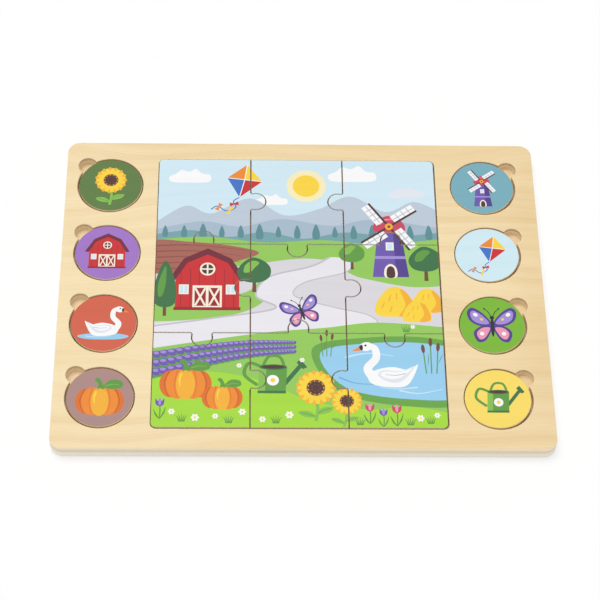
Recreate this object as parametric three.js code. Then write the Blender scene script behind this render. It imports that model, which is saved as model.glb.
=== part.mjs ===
// Matching puzzle: a routed frame board glued on a base board, a jigsaw picture of interlocking
// pieces in the middle, and a column of round discs at each side in pockets with finger notches.
// Millimetres, +Z up, origin on the table under the middle of the tray, +Y towards the back.
import * as THREE from 'three';

// Boards of the tray
const baseThickness = 4;
const frameThickness = 6;
const trayCornerRadius = 8;
const baseEdgeEase = 1;
const frameEdgeEase = 1;
const recessEdgeEase = 0.6;

// Rails of the frame, between its edges and its openings
const leftRail = 7.5;
const rightRail = 12.2;
const innerRail = 9.4;
const backRail = 13.2;
const frontRail = 13.6;

// Jigsaw picture
const pieceColumns = 3;
const pieceRows = 3;
const pieceWidth = 58.7;
const pieceDepth = 65.6;
const pictureCornerRadius = 3;
const pictureGap = 0.7;
const cutGap = 0.8;
const pieceEdgeEase = 0.3;
const knobRadius = 6.3;
const knobStem = 3.3;
const knobLipRadius = 0.6;

// Round discs and their pockets
const discRows = 4;
const discDiameter = 40;
const discGap = 1;
const discEdgeEase = 0.5;
const pocketSpacing = 10;
const notchRadius = 6;
const notchOffset = 0.6;
const leftNotchAngle = THREE.MathUtils.degToRad(134);
const rightNotchAngle = THREE.MathUtils.degToRad(41);

// How far the loose pieces lie off the middle of their openings, as shares of their gaps
const pictureLean = new THREE.Vector2(-0.38, 0.5);
const leftDiscLean = new THREE.Vector2(0.15, 0);
const rightDiscLean = new THREE.Vector2(-0.45, 0);

// Steps of the round stretches
const cornerSteps = 5;
const knobRootSteps = 2;
const knobHeadSteps = 10;
const pocketSteps = 36;
const notchSteps = 9;
const discSteps = 40;

// Sizes that follow
const pictureWidth = pieceColumns * pieceWidth;
const pictureDepth = pieceRows * pieceDepth;
const openingWidth = pictureWidth + 2 * pictureGap;
const openingDepth = pictureDepth + 2 * pictureGap;
const pocketRadius = discDiameter / 2 + discGap;
const pocketPitch = 2 * pocketRadius + pocketSpacing;
const pocketColumnDepth = (discRows - 1) * pocketPitch + 2 * pocketRadius;
const playWidth = openingWidth + 2 * (innerRail + 2 * pocketRadius);
const playDepth = Math.max(openingDepth, pocketColumnDepth);
const trayWidth = leftRail + playWidth + rightRail;
const trayDepth = frontRail + playDepth + backRail;
const playCentre = new THREE.Vector2((leftRail - rightRail) / 2, (frontRail - backRail) / 2);
const pictureCentre = playCentre.clone().addScaledVector(pictureLean, pictureGap);
const pocketColumnX = openingWidth / 2 + innerRail + pocketRadius;
const knobRootRadius = knobLipRadius + cutGap / 2 + pieceEdgeEase;

// Colours and finishes
const frameWood = new THREE.MeshStandardMaterial({ color: 0xf3d9ac, roughness: 0.55, metalness: 0 });
const baseWood = new THREE.MeshStandardMaterial({ color: 0xe6d6b8, roughness: 0.6, metalness: 0 });
const pictureRowColours = [0xd3eaf5, 0xdcd9de, 0xa5dd3c];
const leftDiscColours = [0x648550, 0xa578cf, 0xd56450, 0xaf8f8a];
const rightDiscColours = [0x76afbe, 0xd0ebf7, 0x6bb93c, 0xfcdc6e];

function printedWood(colour) {
  return new THREE.MeshStandardMaterial({ color: colour, roughness: 0.42, metalness: 0 });
}

// Points of an arc, both ends included; an end angle below the start angle runs clockwise.
function arc(centreX, centreY, radius, startAngle, endAngle, steps) {
  return Array.from({ length: steps + 1 }, (_, step) => {
    const angle = startAngle + ((endAngle - startAngle) * step) / steps;
    return new THREE.Vector2(centreX + radius * Math.cos(angle), centreY + radius * Math.sin(angle));
  });
}

// A rectangle with round corners, anticlockwise, drawn in by inset on every side.
function roundedRectangle(centre, width, depth, cornerRadius, inset) {
  const reachX = width / 2 - cornerRadius;
  const reachY = depth / 2 - cornerRadius;
  const corners = [[1, 1], [-1, 1], [-1, -1], [1, -1]];
  return corners.flatMap(([signX, signY], quarter) => arc(
    centre.x + signX * reachX,
    centre.y + signY * reachY,
    cornerRadius - inset,
    (quarter * Math.PI) / 2,
    ((quarter + 1) * Math.PI) / 2,
    cornerSteps,
  ));
}

// A full circle about the middle, anticlockwise.
function circle(radius) {
  return arc(0, 0, radius, 0, 2 * Math.PI, discSteps).slice(0, -1);
}

// A disc pocket with its finger notch, anticlockwise: the outline of two circles joined, the
// notch centred just outside the pocket's rim, both grown by outset.
function pocketOutline(centre, notchAngle, outset) {
  const reach = pocketRadius + notchOffset;
  const pocket = pocketRadius + outset;
  const notch = notchRadius + outset;
  const pocketOpening = Math.acos((reach ** 2 + pocket ** 2 - notch ** 2) / (2 * reach * pocket));
  const notchOpening = Math.PI - Math.acos((reach ** 2 + notch ** 2 - pocket ** 2) / (2 * reach * notch));
  const pocketArc = arc(
    centre.x, centre.y, pocket,
    notchAngle + pocketOpening, notchAngle + 2 * Math.PI - pocketOpening, pocketSteps,
  );
  const notchArc = arc(
    centre.x + reach * Math.cos(notchAngle), centre.y + reach * Math.sin(notchAngle), notch,
    notchAngle - notchOpening, notchAngle + notchOpening, notchSteps,
  );
  return [...pocketArc, ...notchArc.slice(1, -1)];
}

// The knob of a cut, as points along the side and out of the piece: a round head whose roots run
// into the cut in two small arcs. Direction is 1 for a knob of this piece, -1 for its socket.
function knobOutline(direction, inset) {
  const headRadius = knobRadius - direction * inset;
  const rootRadius = knobRootRadius + direction * inset;
  const rootReach = Math.sqrt((knobRadius + knobRootRadius) ** 2 - (knobStem - knobRootRadius) ** 2);
  const lean = Math.atan2(knobStem - knobRootRadius, rootReach);
  const firstRoot = arc(-rootReach, knobRootRadius, rootRadius, -Math.PI / 2, lean, knobRootSteps);
  const head = arc(0, knobStem, headRadius, Math.PI + lean, -lean, knobHeadSteps).slice(1, -1);
  const lastRoot = arc(rootReach, knobRootRadius, rootRadius, Math.PI - lean, 1.5 * Math.PI, knobRootSteps);
  return [...firstRoot, ...head, ...lastRoot].map(({ x, y }) => new THREE.Vector2(x, direction * y));
}

// A jigsaw piece about the middle of its cell, anticlockwise from its front left corner, drawn in
// by ease, and by half the cut as well on its inner sides. On every second piece the knobs stand on
// the left and right sides, and on the others on the front and back sides.
function pieceOutline(row, column, ease) {
  const besideKnob = (row + column) % 2 === 0 ? 1 : -1;
  const borders = [row === pieceRows - 1, column === pieceColumns - 1, row === 0, column === 0];
  const insets = borders.map((border) => (border ? ease : ease + cutGap / 2));
  const reaches = [pieceDepth / 2, pieceWidth / 2, pieceDepth / 2, pieceWidth / 2];
  const centre = new THREE.Vector2();
  return borders.flatMap((border, side) => {
    const before = (side + 3) % 4;
    const turn = (side * Math.PI) / 2;
    const halfLength = reaches[before];
    const corner = border && borders[before]
      ? arc(
        pictureCornerRadius - halfLength, pictureCornerRadius - reaches[side], pictureCornerRadius - ease,
        Math.PI, 1.5 * Math.PI, cornerSteps,
      )
      : [new THREE.Vector2(insets[before] - halfLength, insets[side] - reaches[side])];
    const knob = border ? [] : knobOutline(side % 2 === 0 ? -besideKnob : besideKnob, insets[side]);
    const shaped = knob.map(({ x, y }) => new THREE.Vector2(x, -reaches[side] - y));
    return [...corner, ...shaped].map((point) => point.rotateAround(centre, turn));
  });
}

// A closed solid through a stack of like outlines, each with its height and its holes.
function stackedSolid(layers) {
  const rings = layers.map(({ outline, holes = [] }) => [
    outline,
    ...holes.map((hole) => hole.toReversed()),
  ]);
  const layerSize = rings[0].flat().length;
  const positions = layers.flatMap(({ height }, layer) => (
    rings[layer].flat().flatMap(({ x, y }) => [x, y, height])
  ));
  const indices = [];
  for (let layer = 0; layer < layers.length - 1; layer += 1) {
    let start = layer * layerSize;
    for (const { length } of rings[layer]) {
      for (let point = 0; point < length; point += 1) {
        const here = start + point;
        const next = start + ((point + 1) % length);
        indices.push(here, next, next + layerSize, here, next + layerSize, here + layerSize);
      }
      start += length;
    }
  }
  const topStart = (layers.length - 1) * layerSize;
  const [bottomOutline, ...bottomHoles] = rings[0];
  for (const [a, b, c] of THREE.ShapeUtils.triangulateShape(bottomOutline, bottomHoles)) {
    indices.push(a, c, b);
  }
  const [topOutline, ...topHoles] = rings.at(-1);
  for (const [a, b, c] of THREE.ShapeUtils.triangulateShape(topOutline, topHoles)) {
    indices.push(topStart + a, topStart + b, topStart + c);
  }
  const geometry = new THREE.BufferGeometry();
  geometry.setAttribute('position', new THREE.Float32BufferAttribute(positions, 3));
  geometry.setIndex(indices);
  geometry.computeVertexNormals();
  return geometry;
}

// Levels of an edge rounded in two steps: the drop below the face and how far the outline draws in.
function roundedEdge(radius) {
  const half = radius * (1 - Math.SQRT1_2);
  return [{ drop: radius, inset: 0 }, { drop: half, inset: half }, { drop: 0, inset: radius }];
}

function namedMesh(name, geometry, material) {
  const mesh = new THREE.Mesh(geometry, material);
  mesh.name = name;
  return mesh;
}

// The outline that both boards share, drawn in by inset.
function trayOutline(inset) {
  return roundedRectangle(new THREE.Vector2(), trayWidth, trayDepth, trayCornerRadius, inset);
}

function baseBoard() {
  const edge = roundedEdge(baseEdgeEase).toReversed();
  const layers = edge.map(({ drop, inset }) => ({ height: drop, outline: trayOutline(inset) }));
  layers.push({ height: baseThickness, outline: trayOutline(0) });
  return namedMesh('base_board', stackedSolid(layers), baseWood);
}

function pocketCentre(side, row) {
  const fromMiddle = (discRows - 1) / 2 - row;
  return new THREE.Vector2(playCentre.x + side * pocketColumnX, playCentre.y + fromMiddle * pocketPitch);
}

// The frame's openings, grown by outset: the picture's recess and the pockets of both columns.
function frameOpenings(outset) {
  const recessRadius = pictureCornerRadius + pictureGap;
  const openings = [roundedRectangle(playCentre, openingWidth, openingDepth, recessRadius, -outset)];
  for (const [side, notchAngle] of [[-1, leftNotchAngle], [1, rightNotchAngle]]) {
    for (let row = 0; row < discRows; row += 1) {
      openings.push(pocketOutline(pocketCentre(side, row), notchAngle, outset));
    }
  }
  return openings;
}

function frameBoard() {
  const layers = roundedEdge(frameEdgeEase).map(({ drop, inset }) => ({
    height: frameThickness - drop,
    outline: trayOutline(inset),
    holes: frameOpenings(drop === 0 ? recessEdgeEase : 0),
  }));
  layers.unshift({ height: 0, outline: trayOutline(0), holes: frameOpenings(0) });
  const mesh = namedMesh('frame_board', stackedSolid(layers), frameWood);
  mesh.position.z = baseThickness;
  return mesh;
}

// A loose piece as thick as the frame, with its top edge eased.
function loosePiece(name, outline, ease, colour) {
  const layers = [
    { height: 0, outline: outline(0) },
    { height: frameThickness - ease, outline: outline(0) },
    { height: frameThickness, outline: outline(ease) },
  ];
  return namedMesh(name, stackedSolid(layers), printedWood(colour));
}

function puzzlePieces() {
  const rowNames = ['back', 'middle', 'front'];
  const columnNames = ['left', 'centre', 'right'];
  const pieces = new THREE.Group();
  pieces.position.set(pictureCentre.x, pictureCentre.y, baseThickness);
  for (let row = 0; row < pieceRows; row += 1) {
    for (let column = 0; column < pieceColumns; column += 1) {
      const name = `puzzle_piece_${rowNames[row] ?? row}_${columnNames[column] ?? column}`;
      const outline = (ease) => pieceOutline(row, column, ease);
      const colour = pictureRowColours[row % pictureRowColours.length];
      const piece = loosePiece(name, outline, pieceEdgeEase, colour);
      piece.position.x = (column - (pieceColumns - 1) / 2) * pieceWidth;
      piece.position.y = ((pieceRows - 1) / 2 - row) * pieceDepth;
      pieces.add(piece);
    }
  }
  return pieces;
}

function discColumn(sideName, side, lean, colours) {
  const discs = new THREE.Group();
  for (let row = 0; row < discRows; row += 1) {
    const outline = (ease) => circle(discDiameter / 2 - ease);
    const name = `match_disc_${sideName}_${row + 1}`;
    const disc = loosePiece(name, outline, discEdgeEase, colours[row % colours.length]);
    const centre = pocketCentre(side, row).addScaledVector(lean, discGap);
    disc.position.set(centre.x, centre.y, baseThickness);
    discs.add(disc);
  }
  return discs;
}

const matchingPuzzle = new THREE.Group();
matchingPuzzle.add(
  baseBoard(),
  frameBoard(),
  puzzlePieces(),
  discColumn('left', -1, leftDiscLean, leftDiscColours),
  discColumn('right', 1, rightDiscLean, rightDiscColours),
);

export default matchingPuzzle;
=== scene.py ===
"""Looks of a wooden matching puzzle: a tray of two boards, nine jigsaw pieces and eight picture discs.

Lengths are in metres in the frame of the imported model. The drawings of the prints are in millimetres.
"""

import bpy
import numpy as np
from mathutils import Matrix, Vector
from mathutils.geometry import delaunay_2d_cdt


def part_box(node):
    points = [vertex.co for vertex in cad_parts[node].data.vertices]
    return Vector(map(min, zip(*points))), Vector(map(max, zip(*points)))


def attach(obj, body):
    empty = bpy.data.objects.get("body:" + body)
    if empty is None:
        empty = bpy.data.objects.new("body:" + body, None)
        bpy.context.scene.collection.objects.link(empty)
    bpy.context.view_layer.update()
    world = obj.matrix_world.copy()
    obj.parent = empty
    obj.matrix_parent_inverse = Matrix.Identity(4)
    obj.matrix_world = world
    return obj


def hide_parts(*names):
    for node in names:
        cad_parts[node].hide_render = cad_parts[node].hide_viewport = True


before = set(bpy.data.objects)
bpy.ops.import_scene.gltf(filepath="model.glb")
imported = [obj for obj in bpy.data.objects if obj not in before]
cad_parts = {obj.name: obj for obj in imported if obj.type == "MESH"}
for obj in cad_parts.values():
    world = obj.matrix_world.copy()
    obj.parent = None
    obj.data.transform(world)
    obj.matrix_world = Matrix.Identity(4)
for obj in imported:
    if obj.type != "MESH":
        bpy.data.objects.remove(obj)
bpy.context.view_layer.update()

bl_info = {
    "name": "Matching puzzle",
    "version": (1, 0, 0),
    "blender": (4, 5, 0),
    "location": "View3D > Sidebar > Puzzle",
    "description": "Builds a wooden matching puzzle with a jigsaw picture and two columns of picture discs",
    "category": "Add Mesh",
}

MM = 0.001

ROW_NAMES = ("back", "middle", "front")
COLUMN_NAMES = ("left", "centre", "right")
DISC_SLOTS = {
    "left": ("dark_green_disc", "purple_disc", "coral_disc", "mauve_disc"),
    "right": ("teal_disc", "pale_blue_disc", "bright_green_disc", "yellow_disc"),
}

# Steps of the round stretches
CORNER_STEPS = 14
EASE_STEPS = 5
KNOB_ROOT_STEPS = 8
KNOB_HEAD_STEPS = 36
POCKET_STEPS = 96
NOTCH_STEPS = 32
DISC_STEPS = 120

# The longest step along the outline of a jigsaw piece
SIDE_STEP = 0.7 * MM

# A flat rim between an eased edge and the face beside it, and the hair-fine eases of a glued edge and of the
# foot of an opening's walls
RIM = 0.1 * MM
GLUED_EASE = 0.08 * MM
FOOT_EASE = 0.02 * MM

# The floor: its width in metres, how far it lies under the tray, the length of the rays that it lets through,
# and its finish
FLOOR_WIDTH = 8.0
FLOOR_PLAY = 0.02 * MM
CLEAR_REACH = 1 * MM
FLOOR_ROUGHNESS = 0.9
FLOOR_GLOSS = 0.1

# Width of the camera's sensor in millimetres
SENSOR_WIDTH = 36.0

# Lines of a drawing closer than this, in millimetres, meet in one point
DRAWING_TOLERANCE = 1e-4

# How many times as wide as a disc its ground is drawn
GROUND_SPARE = 1.1


def node_box(node):
    """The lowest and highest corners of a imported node, as arrays."""
    low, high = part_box(node)
    return np.array(low), np.array(high)


def piece_node(row, column):
    """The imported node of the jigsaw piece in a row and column."""
    return f"puzzle_piece_{ROW_NAMES[row]}_{COLUMN_NAMES[column]}"


PIECE_CELLS = [(row, column) for row in range(len(ROW_NAMES)) for column in range(len(COLUMN_NAMES))]
BASE_LOW, BASE_HIGH = node_box("base_board")
FRAME_LOW, FRAME_HIGH = node_box("frame_board")
PICTURE_LOW = np.min([node_box(piece_node(*cell))[0] for cell in PIECE_CELLS], axis=0)
PICTURE_HIGH = np.max([node_box(piece_node(*cell))[1] for cell in PIECE_CELLS], axis=0)


# Settings

def length(name, description, default):
    """A length in metres."""
    return bpy.props.FloatProperty(
        name=name, description=description, default=default, min=0.0, precision=5, unit="LENGTH"
    )


def angle(name, description, degrees):
    """An angle, given in degrees and kept in radians."""
    return bpy.props.FloatProperty(
        name=name, description=description, default=np.radians(degrees), subtype="ANGLE"
    )


def leaning(name, description, x, y):
    """How far loose pieces lie off the middle of their opening, to the right and to the back, in gaps."""
    return bpy.props.FloatVectorProperty(name=name, description=description, default=(x, y), size=2)


def spot(name, description, x, y, z):
    """A place in the frame."""
    return bpy.props.FloatVectorProperty(
        name=name, description=description, default=(x, y, z), subtype="TRANSLATION", unit="LENGTH"
    )


def amount(name, description, default):
    """A plain number from nothing up."""
    return bpy.props.FloatProperty(name=name, description=description, default=default, min=0.0)


def colour(name, description, red, green, blue):
    """A colour, given as the eight-bit values that a screen shows."""
    return bpy.props.FloatVectorProperty(
        name=name, description=description, default=(red / 255, green / 255, blue / 255),
        min=0.0, max=1.0, subtype="COLOR_GAMMA",
    )


def ink(name, red, green, blue):
    """A printing ink."""
    return colour(name, f"Printing ink: {name.lower()}", red, green, blue)


class TraySizes(bpy.types.PropertyGroup):
    """Sizes of the tray"""
    corner_radius: length("Corner radius", "Round of the tray's four corners, seen from above", 0.008)
    base_ease: length("Base ease", "Round of the base board's lower edge", 0.001)
    frame_ease: length("Frame ease", "Round of the frame board's upper edge", 0.001)
    recess_ease: length("Recess ease", "Round of the edges of the openings", 0.0006)
    picture_gap: length("Picture gap", "Play round the jigsaw picture in its recess", 0.0007)
    disc_gap: length("Disc gap", "Play round a disc in its pocket", 0.001)
    picture_lean: leaning("Picture lean", "How far the picture lies off the middle, in gaps", -0.38, 0.5)
    left_lean: leaning("Left lean", "How far the left discs lie off the middle, in gaps", 0.15, 0.0)
    right_lean: leaning("Right lean", "How far the right discs lie off the middle, in gaps", -0.45, 0.0)
    notch_radius: length("Notch radius", "Radius of a finger notch", 0.006)
    notch_offset: length("Notch offset", "How far outside a pocket's rim its notch is centred", 0.0006)
    left_notch: angle("Left notch", "Direction of the notches of the left column", 134)
    right_notch: angle("Right notch", "Direction of the notches of the right column", 41)


class PieceSizes(bpy.types.PropertyGroup):
    """Sizes of the loose pieces"""
    picture_corner: length("Picture corner", "Round of the picture's four corners", 0.003)
    cut_gap: length("Cut", "Width of the saw cut between jigsaw pieces", 0.0008)
    knob_radius: length("Knob radius", "Radius of a knob's round head", 0.0063)
    knob_stem: length("Knob stem", "How far a knob's head is centred from the cut", 0.0033)
    knob_root: length("Knob root", "Radius at a knob's roots, along the middle of the cut", 0.0013)
    piece_ease: length("Piece ease", "Round of the jigsaw pieces' edges", 0.00015)
    ink_run: length("Ink run", "How far the ink has run down the jigsaw pieces' walls", 0.0014)
    wall_ink: amount("Wall ink", "Share of ink on the jigsaw pieces' walls just under the edge", 0.45)
    disc_ease: length("Disc ease", "Round of the discs' edges", 0.0005)
    print_margin: length("Print margin", "Bare wood between a disc's print and its edge", 0.0001)
    print_softness: length("Print softness", "Width of the soft edge of a disc's print", 0.0001)
    print_shift: bpy.props.FloatVectorProperty(
        name="Print shift", description="How far a disc's print lies off its middle",
        default=(-0.00006, 0.00005), size=2, precision=5, unit="LENGTH",
    )


class WoodFinish(bpy.types.PropertyGroup):
    """Colours of the bare wood"""
    frame_light: colour("Frame, light", "Early wood of the frame board", 251, 231, 188)
    frame_dark: colour("Frame, dark", "Late wood of the frame board", 228, 196, 141)
    frame_layer: colour("Frame layer", "Long-grain layers of the frame board's edge", 248, 236, 214)
    frame_core: colour("Frame core", "End-grain layer of the frame board's edge", 230, 213, 184)
    # Painted light and shade up the walls of the openings: lighter near the floor, darker near the top.
    frame_cut: colour("Frame cut", "Walls of the openings near the floor", 255, 243, 216)
    frame_scorch: colour("Frame scorch", "Shade-painted walls of the openings near the top", 202, 170, 118)
    base_light: colour("Base, light", "Early wood of the base board", 250, 230, 194)
    base_dark: colour("Base, dark", "Late wood of the base board", 236, 208, 164)
    # Partly painted light: the base board's edge is a paler wood, and its near-white layers also stand in for
    # light thrown up from the floor.
    base_layer: colour("Base layer", "Long-grain layers of the base board's edge", 253, 249, 238)
    base_core: colour("Base core", "End-grain layer of the base board's edge", 249, 242, 227)
    # Painted shade and light up the sawn walls of the jigsaw pieces and the discs: darker near the underside,
    # lighter near the top.
    picture_cut: colour("Picture cut", "Walls of the jigsaw pieces near the underside", 214, 186, 142)
    picture_scorch: colour("Picture scorch", "Walls of the jigsaw pieces near the top", 250, 246, 238)
    disc_cut: colour("Disc cut", "Walls of the discs near the underside", 212, 178, 124)
    disc_scorch: colour("Disc scorch", "Walls of the discs near the top", 246, 216, 158)
    # Painted highlight: the eased outer edges are pale from sanding, and this colour also stands in for the
    # highlight along them.
    worn_edge: colour("Worn edge", "Sanded wood along the outer eased edges", 255, 241, 208)
    figure: amount("Figure", "Strength of the growth rings and streaks", 1.0)
    fibre: amount("Fibre", "Strength of the fine fibres", 0.45)


class PrintInks(bpy.types.PropertyGroup):
    """Colours of the prints"""
    sky: ink("Sky", 212, 236, 247)
    pale_yellow: ink("Pale yellow", 252, 240, 190)
    yellow: ink("Yellow", 253, 216, 64)
    amber: ink("Amber", 248, 180, 52)
    orange: ink("Orange", 242, 142, 48)
    deep_orange: ink("Deep orange", 226, 116, 40)
    burnt_orange: ink("Burnt orange", 196, 92, 36)
    white: ink("White", 252, 252, 252)
    mist: ink("Mist", 228, 233, 242)
    stone: ink("Stone", 188, 192, 206)
    cream: ink("Cream", 253, 244, 224)
    far_hill: ink("Far hill", 192, 205, 219)
    mid_hill: ink("Middle hill", 170, 190, 207)
    teal: ink("Teal", 120, 167, 172)
    deep_teal: ink("Deep teal", 94, 144, 152)
    new_grass: ink("New grass", 150, 204, 92)
    earth: ink("Earth", 171, 103, 90)
    dark_earth: ink("Dark earth", 146, 82, 74)
    leaf_green: ink("Leaf green", 98, 158, 68)
    stem_green: ink("Stem green", 136, 194, 82)
    moss: ink("Moss", 62, 116, 72)
    meadow: ink("Meadow", 168, 222, 60)
    bank: ink("Bank", 108, 168, 74)
    lane: ink("Lane", 221, 218, 224)
    pale_lane: ink("Pale lane", 236, 234, 240)
    lane_edge: ink("Lane edge", 199, 195, 204)
    water: ink("Water", 154, 209, 241)
    pale_water: ink("Pale water", 204, 234, 250)
    deep_water: ink("Deep water", 108, 172, 220)
    red: ink("Red", 207, 46, 50)
    dark_red: ink("Dark red", 158, 36, 46)
    plum: ink("Plum", 118, 40, 58)
    crimson: ink("Crimson", 206, 74, 98)
    rose: ink("Rose", 240, 156, 182)
    violet: ink("Violet", 112, 90, 176)
    deep_violet: ink("Deep violet", 86, 66, 146)
    lilac: ink("Lilac", 166, 146, 218)
    blue: ink("Blue", 66, 118, 200)
    bark: ink("Bark", 118, 76, 58)
    cocoa: ink("Cocoa", 84, 54, 52)
    soot: ink("Soot", 50, 44, 56)
    dark_green_disc: ink("Dark green disc", 97, 127, 68)
    purple_disc: ink("Purple disc", 164, 119, 201)
    coral_disc: ink("Coral disc", 215, 100, 74)
    mauve_disc: ink("Mauve disc", 176, 140, 135)
    teal_disc: ink("Teal disc", 122, 176, 190)
    pale_blue_disc: ink("Pale blue disc", 211, 237, 246)
    bright_green_disc: ink("Bright green disc", 125, 186, 54)
    yellow_disc: ink("Yellow disc", 253, 223, 104)


class StageSettings(bpy.types.PropertyGroup):
    """Floor, light and camera"""
    floor: colour("Floor", "Colour of the floor", 255, 255, 255)
    floor_glow: amount("Floor glow", "Share of plain white in the floor that the camera sees", 0.52)
    sky_light: amount("Sky light", "Strength of the even light from all round", 0.6)
    key_light: amount("Key light", "Strength of the soft lamp, in watts on a square metre", 1.28)
    key_place: spot("Key place", "Where the soft lamp hangs, which points at the tray", -0.2, 0.25, 1.2)
    key_spread: angle("Key spread", "How wide the soft lamp looks from the tray", 40)
    lens: amount("Lens", "Focal length of the camera on a sensor 36 mm wide, in millimetres", 116.3)
    camera_place: spot("Camera place", "Where the camera stands", -0.0357, -0.6556, 1.0127)
    camera_tilt: angle("Camera tilt", "How far the camera is tipped up from straight down", 32.88)
    camera_heading: angle("Camera heading", "How far the camera is turned about the upright", -3.03)
    camera_roll: angle("Camera roll", "How far the camera is turned about its own view", 2.86)


class PuzzleSettings(bpy.types.PropertyGroup):
    """All settings of the puzzle"""
    tray: bpy.props.PointerProperty(type=TraySizes, name="Tray", description="Sizes of the tray")
    pieces: bpy.props.PointerProperty(type=PieceSizes, name="Pieces", description="Sizes of the loose pieces")
    wood: bpy.props.PointerProperty(type=WoodFinish, name="Wood", description="Colours of the bare wood")
    inks: bpy.props.PointerProperty(type=PrintInks, name="Inks", description="Colours of the prints")
    stage: bpy.props.PointerProperty(type=StageSettings, name="Stage", description="Floor, light and camera")


def settings():
    """The puzzle's settings in the open scene."""
    return bpy.context.scene.matching_puzzle


def linear(screen):
    """Scene-linear values of a screen colour: the standard curve, straight near black and a power above."""
    straight_end, slope, offset, power = 0.04045, 12.92, 0.055, 2.4
    value = np.array(screen)
    return np.where(value <= straight_end, value / slope, ((value + offset) / (1 + offset)) ** power)


def opaque(screen):
    """A screen colour as the four linear values that a colour socket takes."""
    return (*linear(screen), 1.0)


# Outlines of the pieces, seen from above

def arc(centre, radius, start, end, steps):
    """Points of an arc with both ends: the centre plus the radius times cosine and sine of even angles."""
    turn = np.linspace(start, end, steps + 1)
    return np.column_stack((centre[0] + radius * np.cos(turn), centre[1] + radius * np.sin(turn)))


def rounded_rectangle(low, high, radius, inset):
    """A rectangle set in on every side, anticlockwise: a quarter arc about each round corner's centre."""
    middle = (low[:2] + high[:2]) / 2
    reach = (high[:2] - low[:2]) / 2 - radius
    signs = np.array(((1, 1), (-1, 1), (-1, -1), (1, -1)))
    quarter = np.pi / 2
    return np.vstack([
        arc(middle + sign * reach, radius - inset, quarter * turn, quarter * (turn + 1), CORNER_STEPS)
        for turn, sign in enumerate(signs)
    ])


def disc_circle(centre, radius):
    """A full circle, anticlockwise."""
    return arc(centre, radius, 0, 2 * np.pi, DISC_STEPS)[:-1]


def pocket(tray, centre, radius, notch_turn, outset):
    """A pocket with its finger notch, anticlockwise: the outline of two joined circles.

    Both circles are grown by the outset. The arcs end where the circles cross, at the angles that the law of
    cosines gives from their radii and the distance of their centres.
    """
    reach = radius + tray.notch_offset
    wide = radius + outset
    small = tray.notch_radius + outset
    wide_opening = np.arccos((reach**2 + wide**2 - small**2) / (2 * reach * wide))
    small_opening = np.pi - np.arccos((reach**2 + small**2 - wide**2) / (2 * reach * small))
    rim = arc(centre, wide, notch_turn + wide_opening, notch_turn + 2 * np.pi - wide_opening, POCKET_STEPS)
    notch_centre = centre + reach * np.array((np.cos(notch_turn), np.sin(notch_turn)))
    notch = arc(notch_centre, small, notch_turn - small_opening, notch_turn + small_opening, NOTCH_STEPS)
    return np.vstack((rim, notch[1:-1]))


def knob(sizes, direction, inset):
    """A knob along a cut and out of the piece: a round head that two small arcs lead into from the cut.

    The head is centred a stem's length from the cut, and each root arc touches both the cut and the head.
    Direction is 1 for a knob and -1 for the socket that takes it.
    """
    root = sizes.knob_root
    rise = sizes.knob_stem - root
    reach = np.sqrt((sizes.knob_radius + root) ** 2 - rise**2)
    slant = np.arctan2(rise, reach)
    root_radius = root + direction * inset
    head_radius = sizes.knob_radius - direction * inset
    first = arc((-reach, root), root_radius, -np.pi / 2, slant, KNOB_ROOT_STEPS)
    head = arc((0, sizes.knob_stem), head_radius, np.pi + slant, -slant, KNOB_HEAD_STEPS)
    last = arc((reach, root), root_radius, np.pi - slant, 1.5 * np.pi, KNOB_ROOT_STEPS)
    return np.vstack((first, head[1:-1], last)) * (1, direction)


def jigsaw_outline(sizes, row, column, inset):
    """A jigsaw piece, anticlockwise from its front left corner: four sides, each turned a quarter further.

    Every inner side is set in by half the cut as well. On every second piece the knobs stand on the left and
    right sides, and on the others on the front and back sides. A corner of the picture is a quarter arc.
    """
    cell = (PICTURE_HIGH - PICTURE_LOW)[:2] / (len(COLUMN_NAMES), len(ROW_NAMES))
    centre = PICTURE_LOW[:2] + cell * (column + 0.5, len(ROW_NAMES) - row - 0.5)
    beside = 1 if (row + column) % 2 == 0 else -1
    borders = (row == len(ROW_NAMES) - 1, column == len(COLUMN_NAMES) - 1, row == 0, column == 0)
    insets = [inset if border else inset + sizes.cut_gap / 2 for border in borders]
    reaches = (cell[1] / 2, cell[0] / 2, cell[1] / 2, cell[0] / 2)
    sides = []
    for side, border in enumerate(borders):
        half_length = reaches[side - 1]
        if border and borders[side - 1]:
            middle = (sizes.picture_corner - half_length, sizes.picture_corner - reaches[side])
            points = arc(middle, sizes.picture_corner - inset, np.pi, 1.5 * np.pi, CORNER_STEPS)
        else:
            points = np.array(((insets[side - 1] - half_length, insets[side] - reaches[side]),))
        if not border:
            shape = knob(sizes, beside if side % 2 else -beside, insets[side])
            points = np.vstack((points, (0, -reaches[side]) + shape * (1, -1)))
        sides.append(turned(points, 90 * side))
    return centre + np.vstack(sides)


def even_steps(outline, pattern, step):
    """An outline with its long edges cut into even steps, as many as the like edge of the pattern needs."""
    spans = np.linalg.norm(np.roll(pattern, -1, 0) - pattern, axis=1)
    counts = np.ceil(spans / step).astype(int)
    number = np.arange(counts.sum()) - np.repeat(np.cumsum(counts) - counts, counts)
    share = (number / np.repeat(counts, counts))[:, None]
    start = np.repeat(outline, counts, axis=0)
    end = np.repeat(np.roll(outline, -1, 0), counts, axis=0)
    return start + (end - start) * share


# Solids from outlines

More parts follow.
